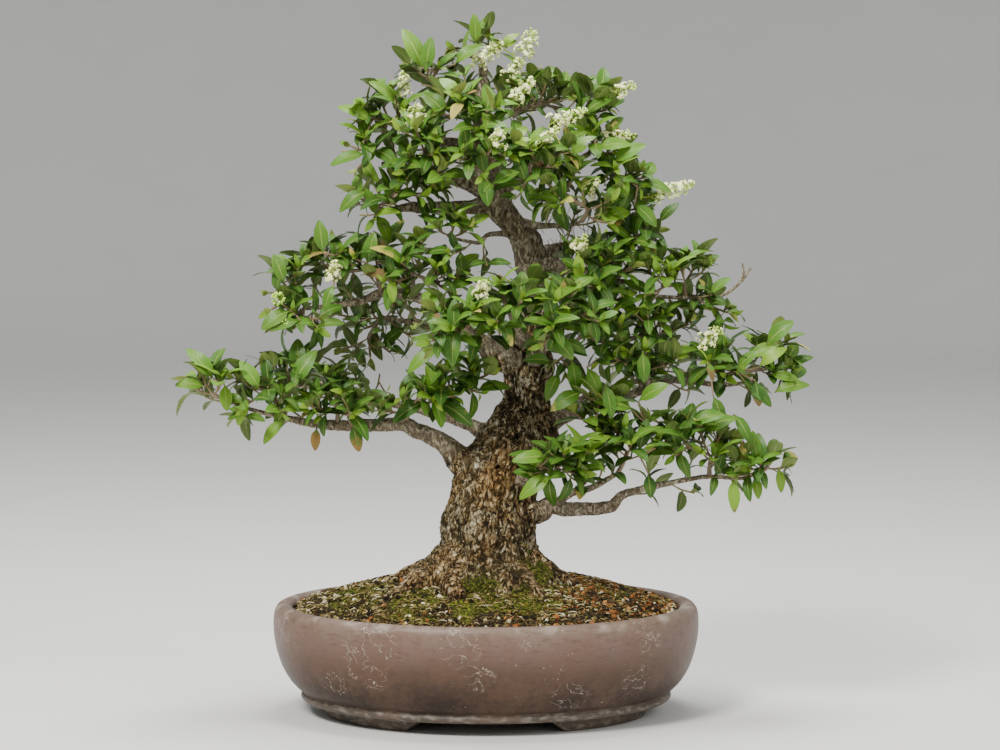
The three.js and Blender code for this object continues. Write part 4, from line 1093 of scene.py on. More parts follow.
def foot_skin(direction):
    """One foot: a rounded bar that follows the oval, with ends that lean out towards its top."""
    share = np.linspace(-1, 1, FOOT_LEVELS)[:, None]
    turn = round_turn(FOOT_SIDES)
    across, rise = (np.sign(wave) * np.abs(wave) ** FOOT_SQUARENESS for wave in (np.cos(turn), np.sin(turn)))
    lift = 0.5 + 0.5 * rise
    full = (1 - share ** 16) ** 0.3 * 0.12 + 0.88
    angle = np.radians(direction) + share * np.radians(21.5 + 8.3 * lift)
    radius = FOOT_RADIUS + across * (8 + 3 * lift) * full
    rings = level_points(radius, angle, lift * FOOT_HEIGHT, POT_ROUNDNESS)
    return one_shape(rings, rings[[0, -1]].mean(axis=1))


def drain_skin(x):
    """A round cutter for one drain hole, with its edge flared at both ends."""
    flare, height = np.array(DRAIN_FLARE, float).T[..., None]
    rings = level_points(DRAIN_RADIUS + flare, round_turn(DRAIN_SIDES), height) + [x, 0, 0]
    return one_shape(rings, [[x, 0, height[0, 0]], [x, 0, height[-1, 0]]])


def build_pot():
    """The pot: bowl and feet joined as one body, with its drain holes cut."""
    pot = bowl_skin().shape("clay_pot", [CLAY])
    for direction in FOOT_DIRECTIONS:
        worked(pot, foot_skin(direction).shape("foot", [CLAY]), "UNION")
    for x in (-DRAIN_X, DRAIN_X):
        worked(pot, drain_skin(x).shape("drain", [CLAY]), "DIFFERENCE")
    seat(pot, ["pot"], "clay", sharp_degrees=50)


def build_screen(name, x):
    """One drain screen: round plastic strands that weave over and under each other."""
    half = SCREEN_SIZE / 2 - 0.6
    seats = np.linspace(-half, half, STRAND_COUNT_IN_SCREEN)
    run = np.linspace(-half, half, 2 * STRAND_COUNT_IN_SCREEN - 1)
    weave = 0.32 * np.cos(np.pi * run / (seats[1] - seats[0]))
    sign = np.where(np.arange(STRAND_COUNT_IN_SCREEN) % 2, 1, -1)[:, None]
    skin = Skin()
    for way in (1, -1):
        flat = np.broadcast_arrays(run, seats[:, None])[::way]
        height = POT_FLOOR + 0.95 + way * weave * sign
        skin.add_tubes(np.stack([x + flat[0], flat[1], height], axis=-1), STRAND_RADIUS, 5)
    seat(skin.shape(f"mesh_screen_{name}", [MESH_PLASTIC]), [f"drain_screen_{name}"], "screen")


# The soil.

SOIL_ROUNDNESS = POT_ROUNDNESS - 0.003
GRAIN_COUNT = 3700
EDGE_CRUMBS = 230
FIBRE_COUNT = 1900
MOSS_CUSHION_COUNT = 520
MOSS_BLADE_COUNT = 3600
TRUNK_CUSHION_COUNT = 500
TRUNK_BLADE_COUNT = 1800
STRAND_COUNT = 1700
STRAND_LENGTH = 8
SOIL_LEVELS, SOIL_SIDES = 60, 200
# The soil's crumbs and moss stay this far from the middle, where the trunk stands.
TRUNK_ROOM = 50
# The soil's underside: radius and height of each level.
UNDERSIDE = [[30, 26.6], [140, 26.6], [179, 40.8], [190, 64.6], [191.5, 94], [SOIL_RADIUS, 103]]
# Moss patches on the soil: x, y, reach and strength of each.
MOSS_PATCHES = [
    [-120, -40, 42, 0.6], [-70, -95, 34, 0.7], [-20, -110, 26, 0.6], [-150, 10, 26, 0.5], [40, -84, 40, 0.9],
    [-64, -54, 22, 0.7], [70, -60, 26, 0.5], [120, -30, 26, 0.45], [0, -92, 26, 0.6], [-40, 96, 44, 0.6],
    [90, 74, 34, 0.5], [-120, 60, 32, 0.5], [150, 40, 26, 0.35],
]
FLAT = [1, 1, 0]
UPRIGHT = np.array([0, 0, 1.0])


def on_soil(radius, turn):
    """Places on the top of the soil: a mound over the oval, with soft lumps."""
    spots = level_points(radius, turn, 0.0, SOIL_ROUNDNESS)
    reach = (spots[..., 0] / SOIL_RADIUS) ** 2 + (spots[..., 1] / (SOIL_RADIUS * SOIL_ROUNDNESS)) ** 2
    lumps = 5 * (rough_noise(spots, 34, 40) - 0.5) + 2.4 * (rough_noise(spots, 9, 44) - 0.5)
    mound = SOIL_EDGE + SOIL_MOUND * np.clip(1 - reach, 0, 1) ** 0.9
    spots[..., 2] = mound + ease(1.04 - reach, 0, 0.2) * lumps
    return spots


def soil_moss(spots):
    """How mossy the soil is: the strongest patch at each place, ragged by noise."""
    x, y, reach, strength = np.array(MOSS_PATCHES).T
    apart = np.hypot(spots[..., :1] - x, spots[..., 1:2] - y)
    cover = (strength * np.exp(-(apart / reach) ** 2)).max(axis=-1)
    return np.clip(cover * 1.3 + 0.9 * (rough_noise(spots * FLAT, 16, 60) - 0.5), 0, 1)


def build_soil():
    """The soil bed: a closed mound on a plain underside that fits inside the pot."""
    radius, height = np.array(UNDERSIDE).T[..., None]
    turn = round_turn(SOIL_SIDES)
    low = level_points(radius, turn, height, SOIL_ROUNDNESS)
    top = on_soil(np.linspace(1, 0.02, SOIL_LEVELS)[:, None] * SOIL_RADIUS, turn)
    rings = np.concatenate([low, top])
    poles = [[0, 0, UNDERSIDE[0][1]], on_soil(np.zeros(1), 0.0)[0]]
    seat(one_shape(rings, poles, moss=soil_moss(rings)).shape("soil_bed", [SOIL_BED]), ["soil"], "soil")


def spots_on_soil(random, count, chance):
    """Random places on the soil outside the trunk, kept by a chance that depends on the place."""
    tries = 6 * count
    share = np.sqrt(random.uniform(0, 1, tries))
    spots = on_soil(share * (SOIL_RADIUS - 1.5), random.uniform(0, 2 * np.pi, tries))
    patchy = ease(rough_noise(spots * FLAT, 13, 48), 0.36, 0.58)
    clear = np.hypot(spots[:, 0], spots[:, 1]) > TRUNK_ROOM
    kept = clear & (random.uniform(0, 1, tries) < chance(spots) * (0.12 + 0.88 * patchy))
    return spots[kept][:count]


def spokes(way, random, count):
    """Directions spaced evenly round each way and square to it, turned at random."""
    side, across = square_pair(way, random)
    return turned(side[:, None], across[:, None], round_turn(count))


def add_blobs(skin, spots, way, out, size, wide, tall, foot, top, slot=0, **values):
    """Small closed shapes round each way: rings as wide and as far up as given, times size, and two poles."""
    rings = spots[:, None, None] + each(size)[..., None] * (out[:, None] * wide + way[:, None, None] * tall)
    skin.add(rings, np.stack([spots - way * foot, spots + way * top], axis=1), slot, **values)


def warm_side(spots):
    """How likely a crumb is fired orange: more so on the right."""
    return ease(spots[:, 0], 20, 150)


def build_grains():
    """Grit on the soil: uneven stones of two five-sided rings and two poles, and dry strands among them."""
    random = np.random.RandomState(11)
    spots = spots_on_soil(random, GRAIN_COUNT, lambda spots: 1 - 0.75 * soil_moss(spots))
    turn = random.uniform(0, 2 * np.pi, EDGE_CRUMBS)
    edge = on_soil(random.uniform(0.955, 0.99, EDGE_CRUMBS) * SOIL_RADIUS, turn) + [0, 0, 0.6]
    spots = np.concatenate([edge, spots])
    count = len(spots)
    ring = level_points(1, round_turn(5) + [[0], [0.6]], [[-0.45], [0.45]])
    stone = np.concatenate([ring.reshape(10, 3), [[0, 0, -0.85], [0, 0, 0.85]]])
    stones = stone * random.uniform(0.75, 1.2, (count, 12, 1))
    stones = stones * random.uniform([0.7, 0.6, 0.5], 1.0, (count, 3))[:, None]
    size = 0.8 + 3.0 * random.uniform(0, 1, count) ** 2.6
    warm = random.uniform(0, 1, count) < warm_side(spots) * 0.45 + ease(-spots[:, 1], 70, 140) * 0.25 + 0.05
    tint = random.uniform(0, 1, count)
    tint[:EDGE_CRUMBS] = random.choice([0.3, 0.5, 0.65, 0.75, 0.95], EDGE_CRUMBS)
    size[:EDGE_CRUMBS] = random.uniform(1.3, 2.7, EDGE_CRUMBS)
    first = unit(random.normal(size=(count, 3)))
    turns = np.stack([first, *square_pair(first, random)], axis=1)
    stones = np.einsum("npk,nkj->npj", stones, turns) * each(size) + (spots + [0, 0, 0.3])[:, None]
    skin = Skin("tint", "warm")
    skin.add(stones[:, :10].reshape(count, 2, 5, 3), stones[:, 10:], tint=each(tint), warm=each(warm))
    fibres = spots_on_soil(random, FIBRE_COUNT, lambda spots: 0.5)
    warm = random.uniform(0, 1, FIBRE_COUNT) < warm_side(fibres) * 0.5
    add_strands(skin, random, fibres + [0, 0, 0.8], (0.2, 1.0), warm)
    seat(skin.shape("soil_grit", [SOIL_GRAIN]), ["soil"], "soil", sharp_degrees=30)


def add_moss(skin, random, spots, normals, reach):
    """Cushions of moss on a surface: low domes of two rings that stand along the normal."""
    count = len(spots)
    out = spokes(normals, random, 6)
    size = random.uniform(0.5, 1.0, (count, 1)) * reach
    wide = each([1.0, 0.72]) * random.uniform(0.75, 1.2, (count, 2, 6, 1))
    tall = each([-0.15, 0.42]) * random.uniform(0.7, 1.3, (count, 1, 1, 1))
    tint = random.uniform(0, 1, (count, 1, 1))
    along = [[0.1], [0.6]]
    foot, top = size * 0.2, size * 0.62
    add_blobs(skin, spots, normals, out, size[:, 0], wide, tall, foot, top, along=along, tint=tint)


def add_moss_blades(skin, random, spots, normals, length):
    """Short leaning blades: each a three-sided spike."""
    count = len(spots)
    way = unit(normals + 0.55 * random.normal(size=(count, 3)))
    out = spokes(way, random, 3)
    tall = random.uniform(0.6, 1.4, (count, 1)) * length
    tint = random.uniform(0, 1, (count, 1, 1))
    rise = 0.2 * tall[..., None, None]
    add_blobs(skin, spots, way, out, np.ones(count), 0.3, rise, 0.3, tall, along=0.3, tint=tint)


def add_strands(skin, random, spots, tints, warm=0.0):
    """Dry strands that lie on the soil: thin three-sided threads, each a low arch."""
    count = len(spots)
    way = level_points(1, random.uniform(0, 2 * np.pi, count), 0.0)
    bend = np.cross(UPRIGHT, way) * random.uniform(-0.3, 0.3, (count, 1))
    reach = random.uniform(0.5, 1.2, (count, 1)) * STRAND_LENGTH
    half = way * reach / 2
    rows = [spots - half, spots + bend * reach + UPRIGHT * 1.6, spots + half + UPRIGHT * 0.4]
    radii = random.uniform(0.3, 0.6, (count, 1))
    tint = random.uniform(*tints, (count, 1, 1))
    paths = smooth_path(np.stack(rows, axis=1), 4)
    skin.add_tubes(paths, radii, 3, along=0.9, tint=tint, warm=np.reshape(warm, (-1, 1, 1)))


def build_moss(trunk_points, trunk_out, trunk_moss):
    """Moss on the soil and round the trunk's foot: cushions, spikes that roughen them, and dry strands."""
    random = np.random.RandomState(23)
    skin = Skin("tint")
    cushions = spots_on_soil(random, MOSS_CUSHION_COUNT, lambda spots: ease(soil_moss(spots), 0.35, 0.8))
    add_moss(skin, random, cushions, np.broadcast_to(UPRIGHT, cushions.shape), 3.0)
    blades = spots_on_soil(random, MOSS_BLADE_COUNT, lambda spots: ease(soil_moss(spots), 0.2, 0.75))
    add_moss_blades(skin, random, blades + [0, 0, 0.6], np.broadcast_to(UPRIGHT, blades.shape), 2.4)
    strands = spots_on_soil(random, STRAND_COUNT, lambda spots: 0.25 + soil_moss(spots))
    add_strands(skin, random, strands, (0.35, 1.35))
    chance = trunk_moss.ravel() ** 2
    for count, add, size in ((TRUNK_CUSHION_COUNT, add_moss, 2.2), (TRUNK_BLADE_COUNT, add_moss_blades, 2.0)):
        chosen = random.choice(chance.size, count, p=chance / chance.sum())
        add(skin, random, trunk_points.reshape(-1, 3)[chosen], trunk_out.reshape(-1, 3)[chosen], size)
    seat(skin.shape("moss", [MOSS_LEAF]), ["soil"], "soil")


# The wood.

TRUNK_LEVELS = 290
TRUNK_SIDES = 190
# The small hollows in the trunk's front, dented in and darkened with painted shade: x and z of the middle of
# each, and its reach.
HOLLOWS = [[31, 279, 4.5], [-18, 126, 6], [12, 250, 3]]
# Bulges and grooves on the trunk's front: x, z, reach across, reach upright and height of each.
FRONT_SWELLS = [
    [-38, 246, 12, 12, 4], [-44, 196, 10, 16, 4], [10, 232, 13, 13, 4.5], [15, 182, 5, 34, -5.5],
    [36, 196, 13, 18, 5], [66, 272, 12, 12, 4], [-16, 190, 12, 30, 3.5], [-30, 150, 10, 16, 4],
    [2, 262, 16, 7, -4], [44, 252, 10, 8, -4], [16, 300, 10, 10, 3], [-41, 146, 5, 20, -7],
    [50, 152, 5, 18, -6], [2, 150, 6, 16, -4], [-10, 214, 5, 26, -3],
]
# Root runs beyond the flare: x, y, z and radius of each point.
ROOT_RUNS = [
    [[-14, -14, 156, 20], [-46, -34, 140, 14], [-72, -48, 129, 10], [-96, -60, 119, 7], [-118, -68, 108, 4]],
    [[-22, -44, 150, 10], [-34, -66, 138, 7], [-28, -82, 130, 6.5], [-32, -96, 120, 5], [-29, -104, 108, 4]],
    [[20, -8, 154, 18], [54, -16, 139, 12], [80, -22, 128, 8], [104, -28, 118, 5.5], [124, -34, 108, 3]],
    [[20, -30, 146, 14], [38, -56, 134, 8.5], [52, -76, 124, 6], [62, -90, 112, 3.5]],
    [[14, 20, 154, 18], [36, 52, 138, 12], [52, 78, 124, 7], [62, 98, 110, 4]],
    [[-10, 20, 154, 18], [-44, 48, 138, 12], [-66, 66, 126, 8], [-84, 82, 112, 4]],
    [[-20, 4, 148, 16], [-60, 8, 137, 11], [-88, 14, 127, 7], [-108, 20, 115, 4]],
]


def root_swell(angle, height):
    """How far the root lobes push the trunk's surface out, in each direction and below a height."""
    direction, strength, spread = np.array(ROOTS).T
    apart = (np.degrees(angle)[..., None] - direction + 180) % 360 - 180
    lobes = (strength * np.exp(-(apart / spread) ** 2)).sum(axis=-1)
    return 1 + (lobes - 0.12) * ease(190 - height, 0, 75)


def bark_relief(points, coarse):
    """Height of the bark over smooth wood, 0 in a crack to 1 on a flake, and each flake's own draw.

    The flakes are upright cells of two sizes, raised inside their borders and tilted by noise.
    """
    push = np.stack([noise(points, 9, seed) for seed in (71, 72, 73)], axis=-1) - 0.5
    upright = (points + 7 * push) * [1, 1, 0.5]
    border, own = flakes(upright, coarse, 3)
    plate = ease(border, 0.0, 0.3) * (0.35 + 0.65 * own)
    fibres = rough_noise(upright, 0.55 * coarse, 9)
    return 0.5 * plate + 0.5 * ease(fibres, 0.25, 0.75), own


def wood_values(points, out, relief):
    """Moss and rust on the wood: moss low down and in front on the right, rust in the trunk's middle."""
    x, _, z = np.moveaxis(points, -1, 0)
    cloud = rough_noise(points, 26, 81)
    front = ease(-out[..., 1], -0.6, 0.8)
    low = ease(196 - z, 0, 60)
    high = 0.9 * (cloud - 0.58) * ease(280 - z, 0, 120)
    moss = low * (0.56 + 0.26 * front * ease(x, -30, 40)) + 1.2 * low * (cloud - 0.5) + high
    band = ease(z, 180, 215) * (1 - ease(z, 258, 300))
    middle = np.exp(-((x - 14) / 26) ** 2) * front
    rust = band * (0.25 + 0.8 * middle) * ease(rough_noise(points, 20, 91), 0.36, 0.66)
    return np.clip(moss, 0, 1) * (0.6 + 0.4 * relief), np.clip(rust, 0, 1)


def trunk_line(heights):
    """The trunk's middle and radius at given heights, from a smooth curve through its listed levels."""
    curve = smooth_path(np.array(TRUNK, float), 800)
    return [np.interp(heights, curve[:, 2], curve[:, k]) for k in (0, 1, 3)]


def front_swell(points):
    """Bulges and grooves on the trunk's front, each a soft bump round its listed place."""
    x, z, wide, tall, height = np.array(FRONT_SWELLS).T
    bumps = height * np.exp(-((points[..., :1] - x) / wide) ** 2 - ((points[..., 2:] - z) / tall) ** 2)
    return bumps.sum(axis=-1) * ease(-points[..., 1], -6, 8)


def build_trunk(skin):
    """The trunk: level rings round its line, swollen by roots and soft lumps, with raised flakes of bark."""
    heights = np.linspace(TRUNK[0][2], TRUNK[-1][2], TRUNK_LEVELS)[:, None]
    x, y, radius = trunk_line(heights)
    turn = round_turn(TRUNK_SIDES)
    out = level_points(1, turn * np.ones_like(heights), 0.0)
    swollen = radius * root_swell(turn * np.ones_like(heights), heights)
    middle = np.stack([x, y, heights], axis=-1)
    smooth = middle + out * swollen[..., None]
    lumps = 0.18 * swollen * (rough_noise(smooth, 38, 21) - 0.5) + 4 * (rough_noise(smooth, 15, 25) - 0.5)
    upright_lumps = rough_noise(smooth * [1, 1, 0.2], 17, 27) - 0.5
    lumps = lumps + 13 * ease(262 - heights, 0, 60) * upright_lumps + front_swell(smooth)
    relief, plate = bark_relief(smooth, 5.6)
    hollow = 0
    for seat_x, seat_z, reach in HOLLOWS:
        apart = np.hypot(smooth[..., 0] - seat_x, smooth[..., 2] - seat_z)
        hollow = np.maximum(hollow, np.exp(-(apart / reach) ** 2) * (smooth[..., 1] < 0))
    grown = lumps + np.minimum(3.4, 0.1 * radius) * (relief - 0.5) - 11 * hollow
    points = smooth + out * grown[..., None]
    # Painted shade: the bark's relief value drops to its crack value in the hollows and is lowered towards
    # the foot, where the crown shades it, so the bark colour darkens there.
    relief = relief * (1 - hollow) * (1 - 0.3 * ease(170 - heights, 0, 40))
    moss, rust = wood_values(points, out, relief)
    moss = moss * (1 - hollow)
    pale = 0.72 * ease(22 - radius, 0, 9)
    poles = middle[[0, -1], 0]
    skin.add(points[None], poles[None], relief=relief, plate=plate, moss=moss, rust=rust, pale=pale)
    return points, out, moss


def build_limb(skin, rows, wander, depth, brown):
    """A branch or root: a tube along a curve through its points, lumpy, flared where it leaves the trunk."""
    length = np.linalg.norm(np.diff(rows[:, :3], axis=0), axis=1).sum()
    levels = int(length / 2.2) + 8
    curve = smooth_path(rows, levels)
    path = curve[:, :3]
    sway = np.stack([noise(path, 17, 31 + k) for k in range(3)], axis=-1) - 0.5
    path = path + wander * sway * np.sin(np.pi * np.linspace(0, 1, levels)[:, None])
    x, y, trunk_radius = trunk_line(path[:, 2])
    clear = np.hypot(path[:, 0] - x, path[:, 1] - y) - trunk_radius
    radius = curve[:, 3] * (1 + 0.6 * np.exp(-np.maximum(clear, 0) / (1.6 * rows[0, 3])))
    rings, out = tube_rings(path, radius, int(np.clip(rows[0, 3] * 2.4, 8, 30)))
    relief, plate = bark_relief(rings * 1.2, 6.4)
    lumps = 0.28 * radius[:, None] * (rough_noise(rings, 9, 51) - 0.5)
    rings = rings + out * (lumps + np.minimum(depth, 0.16 * radius)[:, None] * (relief - 0.5))[..., None]
    moss, rust = wood_values(rings, out, relief)
    pale = 0.85 * ease(15 - radius, 0, 8)[:, None] * ease(path[:, 2:], 150, 190)
    skin.add(
        rings[None], path[[0, -1]][None], relief=relief, plate=plate, moss=moss * (1 - brown),
        rust=np.maximum(rust, brown), pale=pale,
    )


def build_wood(branches):
    """All the wood as one piece: trunk, root runs and branches."""
    skin = Skin("relief", "plate", "moss", "rust", "pale")
    trunk = build_trunk(skin)
    for rows in ROOT_RUNS:
        build_limb(skin, np.array(rows, float), wander=3, depth=0.8, brown=0.55)
    for rows in branches:
        build_limb(skin, rows, wander=4, depth=1.7, brown=0)
    seat(skin.shape("bark_trunk_and_branches", [BARK]), ["trunk_and_branches"], "bark")
    return trunk


# Twigs and leaves. A line is an array with a row of x, y, z and radius for each of its points.

# Points across a leaf: five on top from edge to edge and one under the midrib.
ACROSS = np.array([-1, -0.5, 0, 0.5, 1, 0])
IS_UNDER = np.array([0, 0, 0, 0, 0, 1])
# The upper face takes the first material and the underside the second.
LEAF_SLOTS = [0, 0, 0, 0, 1, 1]
# Levels along a leaf: the first two are its stalk.
LEAF_LEVELS = np.array([0.03, 0.12, 0.26, 0.44, 0.63, 0.81, 0.94])
SIDE_SHOOT_LENGTH = 17
SIDE_SHOOT_RADIUS = 0.9
SHOOT_FOOT_RADIUS = 0.6
BRANCH_SHOOT_LENGTH = 26
# Branches carry shoots of their own where their radius is between these two.
BARE_BELOW_RADIUS = 1.9
LEAFY_BELOW_RADIUS = 5.4
# The turn, in radians, from one shoot or cluster on a twig to the next.
GOLDEN_ANGLE = 2.4
# A shoot whose outer half is shorter than this carries two pairs of leaves, any other three.
LONG_SHOOT = 16
# How far the middles of leaves stay apart, on shoots and on side shoots.
LEAF_SPACING = 4.5
INNER_LEAF_SPACING = 6
# How far the first hub of a spray stays from the bark.
HUB_CLEARANCE = 6


def pieces_of(lines):
    """All lines cut into straight pieces: starts, ends and the larger radius of each."""
    starts = np.concatenate([line[:-1] for line in lines])
    ends = np.concatenate([line[1:] for line in lines])
    return starts[:, :3], ends[:, :3], np.maximum(starts[:, 3], ends[:, 3])


def nearest(point, pieces):
    """The nearest place on a set of straight pieces: its distance, the place and the radius there."""
    starts, ends, radii = pieces
    span = ends - starts
    share = np.clip(np.sum((point - starts) * span, axis=1) / np.sum(span * span, axis=1), 0, 1)
    spots = starts + span * share[:, None]
    distance = np.linalg.norm(spots - point, axis=1)
    best = np.argmin(distance)
    return distance[best], spots[best], radii[best]


def twig_line(start, end, radius, foot_radius, seed):
    """One twig of three points that rises towards its end."""
    bend = np.array([0.16 * (draw(seed, 1) - 0.5), 0.16 * (draw(seed, 2) - 0.5), -0.05])
    middle = (start + end) / 2 + np.linalg.norm(end - start) * bend
    return np.column_stack([[start, middle, end], [foot_radius, radius * 1.1, radius]])


def spray_lines(forks, wood, seed):
    """The twigs of one spray: a stem for every hub and a shoot for every tip."""
    stems = []
    shoots = []
    for fork, (hub_row, tip_rows) in enumerate(forks):
        hub = placed(hub_row)
        if fork == 0:
            distance, start, radius = nearest(hub, wood)
            if distance < radius + HUB_CLEARANCE:
                hub = start + unit(hub - start) * (radius + HUB_CLEARANCE)
        stems.append(twig_line(start, hub, TWIG_RADIUS, TWIG_RADIUS * (0.5 if fork else 1.2), seed + fork))
        bend = stems[-1][1, :3]
        for i, row in enumerate(tip_rows):
            foot = hub + (bend - hub) * min(0.95, (1 + 3 * i) / np.linalg.norm(hub - bend))
            own = seed + 10 * fork + i + 2
            shoots.append(twig_line(foot, placed(row), SHOOT_RADIUS, SHOOT_FOOT_RADIUS, own))
        start = hub
    return stems, shoots


def shoot_frame(line):
    """The way a shoot's tip points, and two directions square to it."""
    along = unit(line[2, :3] - line[1, :3])
    level = np.cross(UPRIGHT, along)
    side = unit(level) if np.linalg.norm(level) > 0.1 else np.array([1.0, 0, 0])
    return along, side, np.cross(along, side)


def squared(face, way):
    """The direction closest to face that is square to way."""
    return unit(face - way * (face @ way))


def leaf_place(line, seed, pair, which, scale=1.0):
    """Where a leaf sits: its foot on the shoot, the way it points, the way its face looks, and its size.

    Leaves stand in pairs, each pair a quarter turn from the next, and open wider further from the tip.
    """
    along, side, over = shoot_frame(line)
    number = 2 * pair + which
    out = turned(side, over, np.pi * (0.5 * pair + which) + (draw(seed, 3) - 0.5) * 0.9)
    opened = 0.7 + 0.32 * pair + 0.35 * draw(seed, 10 + number)
    way = unit(turned(along, out, opened) + [0, 0, LEAF_LIFT])
    face = squared(0.9 * UPRIGHT + 0.6 * along - 0.25 * out, way)
    back = min(2 + 9 * pair + 2.6 * which, 0.9 * tip_length(line))
    return line[2, :3] - along * back, way, face, (0.84 + 0.3 * draw(seed, 20 + number)) * scale


def tip_length(line):
    """The length of a twig's outer half."""
    return np.linalg.norm(line[2, :3] - line[1, :3])


def young_leaves(line, seed):
    """The small bright pair that stands at a shoot's tip."""
    along, side, over = shoot_frame(line)
    found = []
    for which in range(2):
        out = turned(side, over, np.pi * draw(seed, 40)) * (1 - 2 * which)
        way = unit(along + 0.45 * out)
        size = 0.34 + 0.22 * draw(seed, 41 + which)
        found.append((line[2, :3], way, squared(0.4 * along - out, way), size))
    return found


def side_shoots(line, seed, spacing, first, reach=SIDE_SHOOT_LENGTH):
    """Short shoots that leave a twig in turn to its sides, a golden angle apart."""
    points = line[:, :3]
    length = np.linalg.norm(points[2] - points[0])
    along, side, over = shoot_frame(line)
    found = []
    place = first
    while place < length - 7:
        number = len(found)
        share = place / length * 2
        part = int(share)
        start = points[part] + (points[part + 1] - points[part]) * (share - part)
        out = turned(side, over, GOLDEN_ANGLE * number + 6.3 * draw(seed, 50))
        way = unit(0.75 * along + out + [0, 0, 0.45])
        end = start + way * reach * (0.75 + 0.6 * draw(seed, 51 + number))
        found.append(twig_line(start, end, SIDE_SHOOT_RADIUS, SHOOT_FOOT_RADIUS, seed + 60 + number))
        place += spacing * (0.8 + 0.4 * draw(seed, 55 + number))
    return found


def branch_shoots(lines):
    """Shoots that grow straight from the thin parts of the branches."""
    found = []
    for number, line in enumerate(lines):
        for part in range(1, len(line) - 1):
            if BARE_BELOW_RADIUS < line[part, 3] < LEAFY_BELOW_RADIUS:
                straight = np.array([line[part], (line[part] + line[part + 1]) / 2, line[part + 1]])
                seed = 4000 + 100 * number + part
                found += side_shoots(straight, seed, spacing=15, first=5, reach=BRANCH_SHOOT_LENGTH)
    return found


def lone_leaf(row, carriers):
    """One leaf of the given list, with the stalk that ties it to the nearest twig."""
    foot = placed(row[:3])
    way = unit(np.array(row[3:6]))
    stalk = twig_line(nearest(foot, carriers)[1], foot, 0.8, 1.0, row[0])
    return (foot, way, squared(np.array([0, -0.75, 0.55]), way), row[6]), stalk, row[7], row[8]


def bud_cluster(row, carriers):
    """One cluster of buds: its middle, its reach and the stalk that ties it to the nearest twig."""
    middle = placed(row[:3])
    return middle, row[3], twig_line(nearest(middle, carriers)[1], middle, 0.7, 0.9, row[0])


def tangle(row, carriers):
    """Bare twigs from the nearest wood to random places round one middle."""
    x, _, z, reach, count = row
    random = np.random.RandomState(abs(x) + z)
    ends = placed(row[:3]) + reach * unit(random.normal(size=(count, 3))) * random.uniform(0.2, 1, (count, 1))
    return [twig_line(nearest(end, carriers)[1], end, 0.35, 0.8, z + k) for k, end in enumerate(ends)]


def in_the_open(spot):
    """True where the camera sees a place inside one of the open places."""
    nearer = 1 + spot[1] / VIEW_DISTANCE
    x = VIEW_X + (spot[0] - VIEW_X) / nearer
    z = VIEW_HEIGHT + (spot[2] - VIEW_HEIGHT) / nearer
    return any(math.hypot(x - open_x, z - open_z) < reach for open_x, open_z, reach in OPEN_PLACES)


class LeafRoom:
    """Keeps leaves apart: a later leaf is left out where its middle line would run into an earlier one."""

    def __init__(self, wood):
        self.wood = wood
        self.middles = np.empty((0, 3))

    def takes(self, place, apart):
        """True, and the leaf is kept, if it is clear of earlier leaves, of the wood and of the open places.

        The open places count only for leaves that keep apart from others.
        """
        foot, way, face, size = place
        length = LEAF_LENGTH * size
        middle = foot + way * 0.55 * length + face * 0.04 * length
        tip = foot + way * length - face * 0.1 * length
        if (np.linalg.norm(self.middles - middle, axis=1) < apart).any():
            return False
        if apart and any(in_the_open(spot) for spot in (foot, middle, tip)):
            return False
        for spot in (middle, tip):
            distance, _, radius = nearest(spot, self.wood)
            if distance < radius + 2:
                return False
        self.middles = np.vstack([self.middles, middle])
        return True


def add_leaves(skin, leaves, random):
    """Leaves as thin closed blades.

    The middle line rises and falls as a square curve, the half-width is a sine over the blade after a
    short stalk, the halves fold up from the midrib and the edges wave.
    """
    places, ages, blotches = zip(*leaves)
    foot, way, face, size = (np.array(column, float) for column in zip(*places))
    count = len(size)
    along = LEAF_LEVELS
    length = (LEAF_LENGTH * size)[:, None]
    plump = random.uniform(0.82, 1.1, (count, 1))
    blade = np.clip((along - 0.1) / 0.9, 0, 1)
    width = LEAF_HALF_WIDTH * size[:, None] * plump * np.sin(np.pi * blade ** 0.86) ** 0.64
    width = np.maximum(width, 0.7)[..., None]
    droop = random.uniform(0.36, 0.86, (count, 1))
    rise = length * (LEAF_ARCH * along - droop * along ** 2)
    middle = foot[:, None] + way[:, None] * (along * length)[..., None] + face[:, None] * rise[..., None]
    fold = random.uniform(0.14, 0.42, (count, 1, 1))
    wave = 0.06 * np.sin(9 * along[:, None] + random.uniform(0, 6.3, (count, 1, 1)) + 2 * ACROSS)
    lift = width * (fold * np.abs(ACROSS) - 0.12 * ACROSS ** 4 + wave * np.abs(ACROSS))
    lift = lift - LEAF_THICKNESS * IS_UNDER
    rings = middle[:, :, None] + np.cross(way, face)[:, None, None] * (width * ACROSS)[..., None]
    rings = rings + face[:, None, None] * lift[..., None]
    tip = foot + way * length + face * length * (LEAF_ARCH - droop)
    poles = np.stack([foot - way * 0.4, tip], axis=1)
    skin.add(
        rings, poles, LEAF_SLOTS, along=along[:, None], across=ACROSS / 2 + 0.5, age=each(ages),
        tint=random.uniform(0, 1, (count, 1, 1)), blotch=each(blotches),
    )


def add_twigs(skin, lines, sides, levels, age):
    """Twigs as tubes along curves through their points, with small knots by soft noise."""
    if lines:
        curve = smooth_path(np.stack(lines), levels)
        knots = 1 + 0.22 * (noise(curve[..., :3], 5, 61) - 0.35)
        skin.add_tubes(curve[..., :3], curve[..., 3] * knots, sides, 2, age=age)


